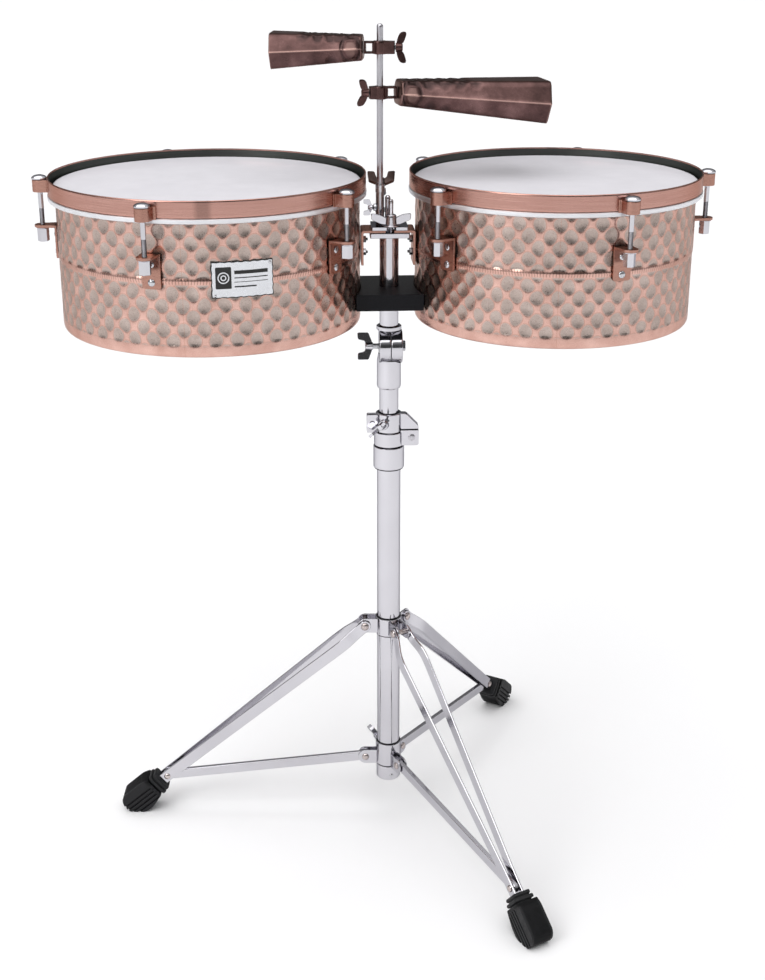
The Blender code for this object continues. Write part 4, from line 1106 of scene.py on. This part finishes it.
def with_booleans(name, base, joined, cut, materials, body, bevel=0.0, soften=0.0, at=None):
    """A piece made by joining and cutting closed shapes, the base softened first."""
    mesh = bpy.data.meshes.new(name)
    base.to_mesh(mesh)
    base.free()
    holder = bpy.data.objects.new("base", mesh)
    bpy.context.scene.collection.objects.link(holder)
    if soften > 0.0:
        modifier = holder.modifiers.new("soften", "BEVEL")
        modifier.width = soften
        modifier.segments = 4
        modifier.limit_method = "ANGLE"
        modifier.angle_limit = math.radians(50.0)
    tools = []
    for operation, shapes in (("UNION", joined), ("DIFFERENCE", cut)):
        for shape in shapes:
            tool_mesh = bpy.data.meshes.new("tool")
            shape.to_mesh(tool_mesh)
            shape.free()
            tool = bpy.data.objects.new("tool", tool_mesh)
            bpy.context.scene.collection.objects.link(tool)
            tools.append(tool)
            modifier = holder.modifiers.new("tool", "BOOLEAN")
            modifier.operation = operation
            modifier.solver = "EXACT"
            modifier.object = tool
    bpy.context.view_layer.update()
    result = bpy.data.meshes.new_from_object(holder.evaluated_get(bpy.context.evaluated_depsgraph_get()))
    for helper in [*tools, holder]:
        bpy.data.objects.remove(helper)
    result.materials.clear()
    return finish_mesh(name, result, materials, body, at, angle=32.0, bevel=bevel)


def turned(profile, sides=64, at=None, closed=False):
    bm = bmesh.new()
    lathe(bm, profile, sides, at, closed)
    bmesh.ops.recalc_face_normals(bm, faces=bm.faces)
    return bm


def barrel(radius, low, high, at, round_off=0.0006, sides=64):
    """A short cylinder along Z with softened rims."""
    profile = [(0.0, high), (radius - round_off, high), (radius - round_off * 0.3, high - round_off * 0.3),
               (radius, high - round_off), (radius, low + round_off),
               (radius - round_off * 0.3, low + round_off * 0.3),
               (radius - round_off, low), (0.0, low)]
    return turned(profile, sides, at)


def height_clamp():
    low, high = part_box("height_clamp")
    at = Matrix.Translation(AXIS)
    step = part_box("base_tube")[1][2] + 0.0010
    bm = bmesh.new()
    outer = [(0.0131, high[2]), (0.0162, high[2]), (0.0174, high[2] - 0.0008), (0.0176, high[2] - 0.0050),
             (0.0178, step + 0.0040), (0.0178, step), (0.0131, step)]
    lathe(bm, outer, 72, at, closed=True)
    finish_piece("clamp_bushing", bm, CHROME, "stand")
    bm = bmesh.new()
    strap = [(0.0162, step - 0.0006), (0.0192, step - 0.0006), (0.0199, step - 0.0014),
             (0.0199, low[2] + 0.0326),
             (0.0192, low[2] + 0.0318), (0.0162, low[2] + 0.0318)]
    lathe(bm, strap, 72, at, closed=True)
    band = [(0.0162, low[2] + 0.0308), (0.0201, low[2] + 0.0308), (0.0208, low[2] + 0.0300),
            (0.0208, low[2] + 0.0010),
            (0.0201, low[2]), (0.0162, low[2])]
    lathe(bm, band, 72, at, closed=True)
    block_shape = rounded([(0.0150, low[2] + 0.0325), (0.0396, low[2] + 0.0325), (0.0396, low[2] + 0.0538),
                           (0.0150, low[2] + 0.0538)], [0.0, 0.0034, 0.0008, 0.0], 5)
    prism(bm, block_shape, 0.0150, at @ move(0.0, -0.0035, 0.0) @ UPRIGHT)
    lid_shape = rounded([(0.0130, low[2] + 0.0547), (0.0396, low[2] + 0.0547), (0.0396, low[2] + 0.0590),
                         (0.0230, low[2] + 0.0762), (0.0130, low[2] + 0.0762)],
                        [0.0, 0.0010, 0.0020, 0.0030, 0.0], 5)
    prism(bm, lid_shape, 0.0120, at @ move(0.0, -0.0020, 0.0) @ UPRIGHT)
    pad = rounded([(-0.0300, low[2] + 0.0515), (-0.0150, low[2] + 0.0515), (-0.0150, low[2] + 0.0765),
                   (-0.0300, low[2] + 0.0765)], 0.0020, 4)
    for y in (-0.0100, -0.0025):
        prism(bm, pad, 0.0034, at @ move(0.0, y, 0.0) @ UPRIGHT)
    hinge_pin = at @ move(-0.0225, -0.0062, low[2] + 0.0640) @ UPRIGHT
    lathe(bm, pin_outline(0.0038, -0.0075, 0.0075), 24, hinge_pin)
    bolt = middle("clamp_wing_bolt")
    out = Vector((bolt.x - AXIS.x, bolt.y - AXIS.y, 0.0)).normalized()
    boss = along(AXIS + Vector((0.0, 0.0, bolt.z)), out)
    lathe(bm, [(0.0, 0.0225), (0.0060, 0.0225), (0.0068, 0.0215), (0.0068, 0.0150), (0.0, 0.0150)], 32, boss)
    obj = finish_piece("clamp_body", bm, CHROME, "stand", bevel=0.0006)
    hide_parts("height_clamp")
    bm = bmesh.new()
    dome(bm, 0.0046, 0.0009, at @ move(0.0300, -0.0110, low[2] + 0.0440)
         @ rotate(90.0, "X"), 28)
    finish_piece("clamp_rivet", bm, ZINC, "stand")
    bm = bmesh.new()
    lathe(bm, [(0.0161, low[2]), (0.0196, low[2]), (0.0196, low[2] - 0.0012), (0.0161, low[2] - 0.0012)], 64,
          at,
          closed=True)
    lathe(bm, ring_outline(0.0162, 0.0186, step - 0.0006, step), 64, at,
          closed=True)
    lathe(bm, [(0.0129, high[2] + 0.0002), (0.0150, high[2] + 0.0002), (0.0150, high[2] - 0.0006),
               (0.0129, high[2] - 0.0006)],
          64, at, closed=True)
    finish_piece("clamp_bushes", bm, PLASTIC, "stand")
    obj = wing("clamp_bolt_wings", boss @ move(0.0, 0.0, 0.0236) @ rotate(45.0, "Z"),
               "clamp_bolt", CHROME, scale=0.92, shaft=0.0012)
    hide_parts("clamp_wing_bolt")


TILT_WING_SPIN = 104.0


def tilter():
    low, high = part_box("inner_tube")
    at = Matrix.Translation(AXIS)
    r = (high[0] - low[0]) / 2.0
    bm = bmesh.new()
    lathe(bm, [(r - 0.0016, high[2]), (r, high[2]), (r, low[2]), (r - 0.0016, low[2])], 72, at, closed=True)
    obj = finish_piece("mast_tube", bm, CHROME, "mast")
    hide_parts("inner_tube")

    pivot = Vector(JOINTS["drum_tilt"]["pos_m"])
    base_box, head_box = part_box("tilter_base"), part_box("tilter_head")
    disc_r = (base_box[1][1] - base_box[0][1]) / 2.0
    split = 0.0020
    across = along(pivot, (1.0, 0.0, 0.0))
    thick = 0.0150
    for side, node, body in ((-1.0, "tilter_base", "mast"), (1.0, "tilter_head", "drum_frame")):
        near = split + side * 0.0003
        far = near + side * thick
        if side < 0:
            bottom = base_box[0][2]
            sleeve = [(0.0, pivot.z - 0.0100), (0.0140, pivot.z - 0.0100), (0.0158, pivot.z - 0.0180),
                      (0.0160, bottom + 0.0030), (0.0152, bottom + 0.0008), (0.0143, bottom),
                      (0.0130, bottom),
                      (0.0130, bottom + 0.0290), (0.0, bottom + 0.0290)]
        else:
            top = head_box[1][2]
            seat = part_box("centre_post")[0][2] - 0.0003
            sleeve = [(0.0, seat), (0.0126, seat), (0.0126, top), (0.0154, top), (0.0163, top - 0.0006),
                      (0.0165, top - 0.0020), (0.0163, top - 0.0050), (0.0130, pivot.z + 0.0200),
                      (0.0, pivot.z + 0.0185)]
        disc = barrel(disc_r, min(near, far), max(near, far), across, 0.0012, 96)
        end, beyond = near - side * 0.0001, near - side * 0.0240
        clear = barrel(disc_r + 0.0007, min(end, beyond), max(end, beyond), across, 0.0001, 96)
        bore = barrel(0.0041, -0.04, 0.04, across, 0.0001, 32)
        obj = with_booleans(f"{node}_casting", turned(sleeve, 72, at), [disc], [clear, bore], CHROME, body)
        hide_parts(node)
    # Toothed ring between the two discs.
    bm = bmesh.new()
    teeth = 60
    rings = []
    for x in (split - 0.0010, split + 0.0002):
        ring = []
        for i in range(teeth * 2):
            a = math.pi * i / teeth
            rr = disc_r - (0.0006 if i % 2 else 0.0016)
            ring.append(across @ Vector((rr * math.cos(a), rr * math.sin(a), x)))
        rings.append(ring)
    loft(bm, rings)
    finish_piece("tilter_teeth", bm, THREAD_AND_RECESS_SHADE, "mast", angle=20.0)
    start = base_box[0][0] - 0.0052
    obj = wing("tilter_bolt_wings",
               along(Vector((start, pivot.y, pivot.z)), (-1.0, 0.0, 0.0), TILT_WING_SPIN), "tilter_bolt",
               CHROME, shaft=0.0, scale=1.0)
    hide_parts("tilter_wing_bolt")
    bm = bmesh.new()
    end = head_box[1][0]
    lathe(bm, pin_outline(0.0034, 0.0, end - start - 0.0010), 28,
          along(Vector((start, pivot.y, pivot.z)), (1.0, 0.0, 0.0)))
    finish_piece("tilter_bolt_shank", bm, STEEL, "tilter_bolt")
    bm = bmesh.new()
    hexagon(bm, 0.0120, 0.0, 0.0042, along(Vector((end + 0.0001, pivot.y, pivot.z)), (1.0, 0.0, 0.0), 15.0))
    finish_piece("tilter_bolt_nut", bm, CHROME, "drum_frame")


def post():
    low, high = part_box("centre_post")
    at = Matrix.Translation(AXIS)
    plate_low, plate_top = 0.8490, 0.8548
    r = 0.0123
    bm = bmesh.new()
    lathe(bm, [(r - 0.0015, plate_low + 0.0005), (r, plate_low + 0.0005), (r, low[2]), (r - 0.0015, low[2])],
          72, at,
          closed=True)
    half_x, half_y = (high[0] - low[0]) / 2.0, (high[1] - low[1]) / 2.0
    outline = rounded(ring_outline(-half_x, half_x, half_y, -half_y), 0.0020, 4)
    prism(bm, outline, plate_top - plate_low, at @ move(0.0, 0.0, (plate_top + plate_low) / 2.0))
    obj = finish_piece("centre_post_visual", bm, CHROME, "drum_frame", bevel=0.0008,
                       segments=3)
    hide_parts("centre_post")
    stud = Vector(JOINTS["plate_nut_turn"]["pos_m"])
    bm = bmesh.new()
    place = move(stud.x, stud.y, 0.0)
    lathe(bm,
          [(0.0, high[2]), (0.0020, high[2] - 0.0003), (0.0029, high[2] - 0.0016), (0.0030, high[2] - 0.0050),
               *thread(plate_top - 0.0010, high[2] - 0.0060, 0.0030), (0.0, plate_top - 0.0010)], 28, place)
    finish_piece("front_stud", bm, STEEL, "drum_frame")

    low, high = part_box("spacer_block")
    bm = bmesh.new()
    corners = []
    half_y = (high[1] - low[1]) / 2.0 - 0.0003
    for name, facing in (("right", 180.0), ("left", 0.0)):
        centre = middle(f"{name}_shell") - AXIS
        radius = span(f"{name}_shell").x / 2.0
        reach = math.degrees(math.asin(half_y / radius))
        corners += arc(centre.x, 0.0, radius, facing + reach, facing - reach, 20)
    prism(bm, corners, high[2] - low[2], at @ move(0.0, 0.0, (high[2] + low[2]) / 2.0),
          holes=[arc(0.0, 0.0, r + 0.0002, 0.0, 352.0, 44)])
    obj = finish_piece("spacer_block_visual", bm, PLASTIC, "drum_frame", bevel=0.0012,
                       segments=3)
    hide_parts("spacer_block")


REAR_BOLT_FROM_AXIS = Vector((-0.0008, 0.0165, 0.0))
REAR_BOLT_TOP = 0.8970


def rod_holder():
    """Pressure plate, sleeve for the bell rod, its bosses, and the domed rear bolt."""
    low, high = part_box("rod_holder")
    at = Matrix.Translation(AXIS)
    rod = middle("bell_rod")
    plate_low = low[2]
    plate_top = plate_low + 0.0040
    stud = Vector(JOINTS["plate_nut_turn"]["pos_m"]) - AXIS
    bm = bmesh.new()
    shape = [(-0.0235, -0.0220), (stud.x - 0.0055, -0.0220), (stud.x - 0.0055, stud.y),
             (stud.x + 0.0055, stud.y),
             (stud.x + 0.0055, -0.0220), (0.0235, -0.0220), (0.0235, 0.0220), (-0.0235, 0.0220)]
    prism(bm, rounded(shape, [0.002, 0.001, 0.003, 0.003, 0.001, 0.002, 0.002, 0.002], 4),
          plate_top - plate_low,
          at @ move(0.0, 0.0, (plate_low + plate_top) / 2.0))
    obj = finish_piece("pressure_plate", bm, CHROME, "drum_frame", bevel=0.0006)
    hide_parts("rod_holder")
    bm = bmesh.new()
    place = move(rod.x, rod.y, 0.0)
    top = high[2]
    sleeve = [(0.0044, top), (0.0056, top), (0.0059, top - 0.0006), (0.0059, top - 0.0110),
              (0.0054, top - 0.0116),
              (0.0054, plate_top + 0.0190), (0.0062, plate_top + 0.0186), (0.0062, plate_top + 0.0130),
              (0.0055, plate_top + 0.0126), (0.0055, plate_top - 0.0004), (0.0044, plate_top - 0.0004)]
    lathe(bm, sleeve, 48, place, closed=True)
    finish_piece("rod_sleeve", bm, STEEL, "drum_frame")
    screw = rod_screw_axis()
    bm = bmesh.new()
    side = Vector(JOINTS["holder_screw_turn"]["pos_m"])
    lathe(bm, [(0.0, 0.0086), (0.0040, 0.0086), (0.0046, 0.0080), (0.0048, 0.0050), (0.0, 0.0050)], 28,
          along(Vector((rod.x, rod.y, side.z)), (-1.0, 0.0, 0.0)))
    boss_at = along(Vector(screw[0]), screw[1])
    lathe(bm, [(0.0, 0.0118), (0.0044, 0.0118), (0.0050, 0.0110), (0.0052, 0.0045), (0.0, 0.0045)], 28,
          boss_at)
    finish_piece("sleeve_bosses", bm, STEEL, "drum_frame")
    bm = bmesh.new()
    bolt = Matrix.Translation(AXIS + REAR_BOLT_FROM_AXIS)
    peak = REAR_BOLT_TOP
    lathe(bm, [(0.0, peak), (0.0014, peak - 0.0003), (0.0026, peak - 0.0011), (0.0034, peak - 0.0026),
               (0.0036, peak - 0.0050),
               (0.0036, plate_top), (0.0, plate_top)], 32, bolt)
    hexagon(bm, 0.0098, plate_top, plate_top + 0.0050, bolt)
    finish_piece("rear_bolt", bm, CHROME, "drum_frame")
    obj = wing("rod_screw_wings", along(Vector(screw[0]) + Vector(screw[1]) * 0.0168, screw[1]), "rod_screw",
               DARK_BRONZE, shaft=0.0053, shape=ROD_WING, plate=0.0058)
    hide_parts("rod_wing_screw")
    obj = wing("holder_screw_wings", along(Vector((rod.x - 0.0098, rod.y, side.z)), (-1.0, 0.0, 0.0), 90.0),
               "holder_screw", CHROME, scale=0.56, shaft=0.0012)
    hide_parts("holder_wing_screw")
    place = move(stud.x + AXIS.x, stud.y + AXIS.y, plate_top + 0.0003)
    obj = wing("plate_nut_wings", place, "plate_nut", CHROME, shape=LOW_WING, hub=0.0068,
               high=0.0150,
               flange=0.0112, plate=0.0046, twist=0.0)
    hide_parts("plate_wing_nut")


def rod_screw_axis():
    """(where the rod screw's axis starts inside the sleeve, its direction)."""
    lean = Vector((0.0, math.sqrt(0.5), math.sqrt(0.5)))
    centre = middle("rod_wing_screw")
    rod = middle("bell_rod")
    back = centre.y - rod.y
    return (centre.x, rod.y, centre.z - back), lean


# ---------------------------------------------------------------- bells


def bell_frame(name):
    joint = JOINTS[f"{name}_bell_swivel"]
    origin = Vector(joint["pos_m"])
    nut = JOINTS[f"{name}_bell_nut_turn"]
    back = Vector(nut["axis"])
    return Matrix.Translation(origin) @ Matrix.Rotation(math.atan2(-back.y, -back.x), 4, "Z")


BELL_SHAPES = {
    "small": {"start": 0.0205, "length": 0.1135, "droop": 1.8, "closed": (0.0152, 0.0185, 0.0262),
              "mouth": (0.0215, 0.0275, 0.0392), "block_end": 0.0185, "spin": 80.0},
    "large": {"start": 0.0220, "length": 0.1890, "droop": 4.2, "closed": (0.0155, 0.0195, 0.0282),
              "mouth": (0.0262, 0.0335, 0.0462), "block_end": 0.0135, "spin": 62.0},
}


def bell(name):
    shape = BELL_SHAPES[name]
    at = bell_frame(name)
    body = f"{name}_bell_arm"
    start, length = shape["start"], shape["length"]
    tilt = move(start, 0.0, 0.0) @ rotate(shape["droop"], "Y")
    stations = 120

    def corners(t):
        h, w, c = (a + (b - a) * t for a, b in zip(shape["closed"], shape["mouth"]))
        return [(w, h), (-w, h), (-c, 0.0), (-w, -h), (w, -h), (c, 0.0)]

    def section(t, shrink=0.0):
        pts = corners(t)
        soft = rounded(pts, [0.0070, 0.0070, 0.0016, 0.0070, 0.0070, 0.0016], 6)
        full = []
        for (x0, y0), (x1, y1) in zip(soft, soft[1:] + soft[:1]):
            gap = math.hypot(x1 - x0, y1 - y0)
            full.append((x0, y0))
            if gap > 0.0035:
                n = 10
                full += [(x0 + (x1 - x0) * k / n, y0 + (y1 - y0) * k / n) for k in range(1, n)]
        return [(x * (1.0 - shrink), y * (1.0 - shrink)) for x, y in full]

    def dents(along_t, x, y, h):
        """Hammer marks on the top, dense near the closed end, and the pressed lobe on each side."""
        depth = 0.0
        s = along_t * length
        if y > h * 0.55:
            for row in range(5):
                for col in range(-2, 3):
                    cs = 0.012 + row * (0.0165 if name == "large" else 0.0135) + (0.006 if col % 2 else 0.0)
                    cx = col * 0.0105
                    d = math.hypot(s - cs, x - cx)
                    if d < 0.0072:
                        depth += 0.0014 * (1.0 - (d / 0.0072) ** 2)
        if abs(x) > shape["closed"][1] * 0.8 and abs(y) < h * 0.93:
            marks = ((0.034, 0.78), (0.053, 0.80), (0.072, 0.84), (0.036, -0.80), (0.056, -0.86),
                     (0.092, 0.90))
            for cs, share in marks if name == "large" else marks[:4]:
                d = math.hypot(s - cs, y - share * h)
                if d < 0.0082:
                    depth += 0.0013 * (1.0 - (d / 0.0082) ** 2)
            lobe = math.hypot((s - 0.0110) / 0.0100, y / (h * 0.80))
            if lobe < 1.0:
                depth -= 0.0021 * (1.0 - lobe ** 4)
            elif lobe < 1.45:
                depth += 0.0012 * math.sin((lobe - 1.0) / 0.45 * math.pi)
        return depth

    rings, rubbed, soot_and_shade_rows = [], [], []
    for i in range(5):
        f = i / 5.0
        shrink = 0.20 * (1.0 - math.sqrt(1.0 - (1.0 - f) ** 2))
        ring = [Vector((0.0030 * f, x, y)) for x, y in section(0.0, shrink)]
        rings.append(ring)
        rubbed.append([0.35] * len(ring))
        soot_and_shade_rows.append([0.0] * len(ring))
    for i in range(stations + 1):
        t = (i / stations) ** 1.5
        h, w, c = (a + (b - a) * t for a, b in zip(shape["closed"], shape["mouth"]))
        ring, rub, soot_and_shade = [], [], []
        for x, y in section(t):
            n = Vector((x, y)).normalized()
            d = dents(t, x, y, h)
            crease = max(0.0, 1.0 - abs(y) / 0.0016) if abs(x) > c * 0.93 else 0.0
            d -= 0.0006 * crease
            ring.append(Vector((0.0030 + t * (length - 0.0030), x - n.x * d, y - n.y * d)))
            rub.append(min(1.0, 0.8 * crease + max(0.0, -d - 0.0008) * 260.0 + max(0.0, t - 0.985) * 40.0))
            # Dark mask: dark patina in the dents, painted shade in the groove round each lobe and along the
            # top, and darker towards the closed end.
            soot_and_shade.append(min(1.0,
                            max(0.0, d) * 520.0 + max(0.0,
                                                      1.0 - t * 3.0) * 0.35 + (0.25 if y > h * 0.8 else 0.0)))
        rings.append(ring)
        rubbed.append(rub)
        soot_and_shade_rows.append(soot_and_shade)
    bm = bmesh.new()
    rub_layer, soot_and_shade_layer = bm.verts.layers.float.new("rub"), bm.verts.layers.float.new("soot_and_shade")
    placed = loft(bm, rings, close_start=True, close_end=False)
    for layer, values in ((rub_layer, rubbed), (soot_and_shade_layer, soot_and_shade_rows)):
        for verts, row in zip(placed, values):
            for vert, value in zip(verts, row):
                vert[layer] = value
    bmesh.ops.transform(bm, matrix=at @ tilt, verts=bm.verts)
    bmesh.ops.recalc_face_normals(bm, faces=bm.faces)
    obj = finish_piece(f"{name}_bell_body", bm, BELL_COPPER, body, angle=24.0)
    wall = obj.modifiers.new("wall", "SOLIDIFY")
    wall.thickness = 0.0015
    wall.offset = -1.0
    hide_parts(f"{name}_bell")
    bell_clamp(name, at, shape, body)


def bell_clamp(name, at, shape, body):
    """Folded strap round the rod, its windowed arm, and the clamping wing nut."""
    reach = shape["start"] - 0.0010
    back = shape["block_end"]
    bm = bmesh.new()
    rod_r = span("bell_rod").x / 2.0 + 0.0003
    outline = [(0.0070, 0.0070)] + [(-back + 0.0020, 0.0070), (-back, 0.0050), (-back, -0.0050),
                                    (-back + 0.0020, -0.0070),
                                    (0.0070, -0.0070)]
    prism(bm, rounded(outline, 0.0012, 3), 0.0150, holes=[arc(0.0, 0.0, rod_r, 0.0, 340.0, 17)])
    for z in (0.0062, -0.0062):
        strap = rounded(ring_outline(0.0050, reach, 0.0062, -0.0062), 0.0012, 3)
        prism(bm, strap, 0.0022, move(0.0, 0.0, z))
    block(bm, (0.0022, 0.0124, 0.0146), (reach - 0.0011, 0.0, 0.0))
    block(bm, (0.0022, 0.0124, 0.0146), (0.0082, 0.0, 0.0))
    bmesh.ops.transform(bm, matrix=at, verts=bm.verts)
    obj = finish_piece(f"{name}_clamp_body", bm, BELL_COPPER, body, bevel=0.0008, segments=3)
    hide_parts(f"{name}_bell_clamp")
    bm = bmesh.new()
    lathe(bm, [(rod_r, 0.0078), (rod_r + 0.0042, 0.0078), (rod_r + 0.0046, 0.0070), (rod_r + 0.0046, -0.0070),
               (rod_r + 0.0042, -0.0078), (rod_r, -0.0078)], 40, at, closed=True)
    finish_piece(f"{name}_clamp_eye", bm, BELL_COPPER, body)
    obj = wing(f"{name}_clamp_wings", at @ along((-back - 0.0013, 0.0, 0.0), (-1.0, 0.0, 0.0), shape["spin"]),
               f"{name}_bell_nut", BELL_COPPER, shape=COPPER_WING, hub=0.0050, high=0.0085,
               shaft=0.0010, plate=0.0034, round_off=0.0042)
    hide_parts(f"{name}_bell_wing_nut")


def bells():
    low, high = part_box("bell_rod")
    rod = middle("bell_rod")
    r = (high[0] - low[0]) / 2.0
    bm = bmesh.new()
    top = high[2]
    profile = [(0.0, top)] + [(r * math.sin(a), top - r * 0.9 * (1.0 - math.cos(a)))
                              for a in (math.radians(15.0 * i) for i in range(1, 7))]
    profile += [(r, low[2] + 0.0006), (r - 0.0006, low[2]), (0.0, low[2])]
    lathe(bm, profile, 40, move(rod.x, rod.y, 0.0))
    obj = finish_piece("bell_rod_visual", bm, ZINC, "bell_post")
    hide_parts("bell_rod")
    for name in BELLS:
        bell(name)


# ---------------------------------------------------------------- studio

WALLS = ((0.0, 0.35), (0.10, 0.60), (0.16, 0.60), (0.21, 0.10), (0.30, 0.08), (0.36, 0.10), (0.42, 0.45),
         (0.50, 0.50), (0.60, 0.30), (0.75, 0.35), (0.90, 0.30), (1.0, 0.35))
CEILING = ((0.25, 0.15), (0.70, 0.90), (1.0, 0.95))
WORLD_LIGHT = 0.72
OVERHEAD_LIGHT = 2.00
SOFTBOXES = (
    ("key_softbox", (-2.2, -2.4, 2.4), (0.0, 0.0, 0.7), 1.6, 28.0),
)

CAMERA_FROM_AXIS = Vector((-0.1169, -1.9660, 1.2518))
CAMERA_TILT, CAMERA_TURN = 69.08, -3.158  # degrees: up from straight down, and round Z
CAMERA_LENS = 56.87  # millimetres, on a sensor 36 wide


def studio():
    bm = bmesh.new()
    bmesh.ops.create_grid(bm, x_segments=1, y_segments=1, size=60.0)
    mesh = bpy.data.meshes.new("floor")
    bm.to_mesh(mesh)
    bm.free()
    floor = bpy.data.objects.new("floor", mesh)
    n = Nodes("floor_paper")
    n.surface((0.93, 0.93, 0.935), 0.9, 0.0)
    n.shader.inputs["Specular IOR Level"].default_value = 0.1
    floor.data.materials.append(n.material)
    bpy.context.scene.collection.objects.link(floor)
    floor.location = (0.0, 0.0, -0.0003)

    world = bpy.data.worlds.new("studio")
    bpy.context.scene.world = world
    world.use_nodes = True
    tree = world.node_tree
    background = tree.nodes["Background"]
    coords = tree.nodes.new("ShaderNodeTexCoord")
    split = tree.nodes.new("ShaderNodeSeparateXYZ")
    tree.links.new(coords.outputs["Generated"], split.inputs[0])
    around = tree.nodes.new("ShaderNodeTexGradient")
    around.gradient_type = "RADIAL"
    tree.links.new(coords.outputs["Generated"], around.inputs[0])

    def ramp(source, stops):
        node = tree.nodes.new("ShaderNodeValToRGB")
        elements = node.color_ramp.elements
        while len(elements) < len(stops):
            elements.new(0.5)
        for element, (position, grey) in zip(elements, stops):
            element.position = position
            element.color = (grey, grey, grey * 1.01, 1.0)
        tree.links.new(source, node.inputs["Fac"])
        return node.outputs[0]

    # WALLS run round the horizon, from -X through -Y (0.25), +X (0.5) and +Y (0.75).
    walls = ramp(around.outputs["Fac"], WALLS)
    ceiling = ramp(split.outputs[2], CEILING)
    lift = tree.nodes.new("ShaderNodeMapRange")
    lift.inputs["From Min"].default_value = 0.25
    lift.inputs["From Max"].default_value = 0.75
    tree.links.new(split.outputs[2], lift.inputs["Value"])
    blend = tree.nodes.new("ShaderNodeMix")
    blend.data_type = "RGBA"
    tree.links.new(lift.outputs[0], blend.inputs[0])
    tree.links.new(walls, blend.inputs[6])
    tree.links.new(ceiling, blend.inputs[7])
    tree.links.new(blend.outputs[2], background.inputs["Color"])
    background.inputs["Strength"].default_value = WORLD_LIGHT

    for name, place, target, size, power in SOFTBOXES:
        data = bpy.data.lights.new(name, "AREA")
        data.shape = "SQUARE"
        data.size = size
        data.energy = power
        light = bpy.data.objects.new(name, data)
        light.location = place
        light.rotation_euler = (Vector(target) - Vector(place)).to_track_quat("-Z", "Y").to_euler()
        bpy.context.scene.collection.objects.link(light)
    data = bpy.data.lights.new("overhead", "SUN")
    data.energy = OVERHEAD_LIGHT
    data.angle = math.radians(80.0)
    light = bpy.data.objects.new("overhead", data)
    light.rotation_euler = (math.radians(12.0), math.radians(-10.0), 0.0)
    bpy.context.scene.collection.objects.link(light)

    data = bpy.data.cameras.new("camera")
    camera = bpy.data.objects.new("camera", data)
    camera.location = AXIS + CAMERA_FROM_AXIS
    camera.rotation_euler = (math.radians(CAMERA_TILT), 0.0, math.radians(CAMERA_TURN))
    data.sensor_width = 36.0
    data.lens = CAMERA_LENS
    bpy.context.scene.collection.objects.link(camera)
    bpy.context.scene.camera = camera
    bpy.context.scene.view_settings.view_transform = "Standard"


studio()
tripod()
height_clamp()
tilter()
post()
rod_holder()
for drum in SIDES:
    make_drum(drum)
bells()
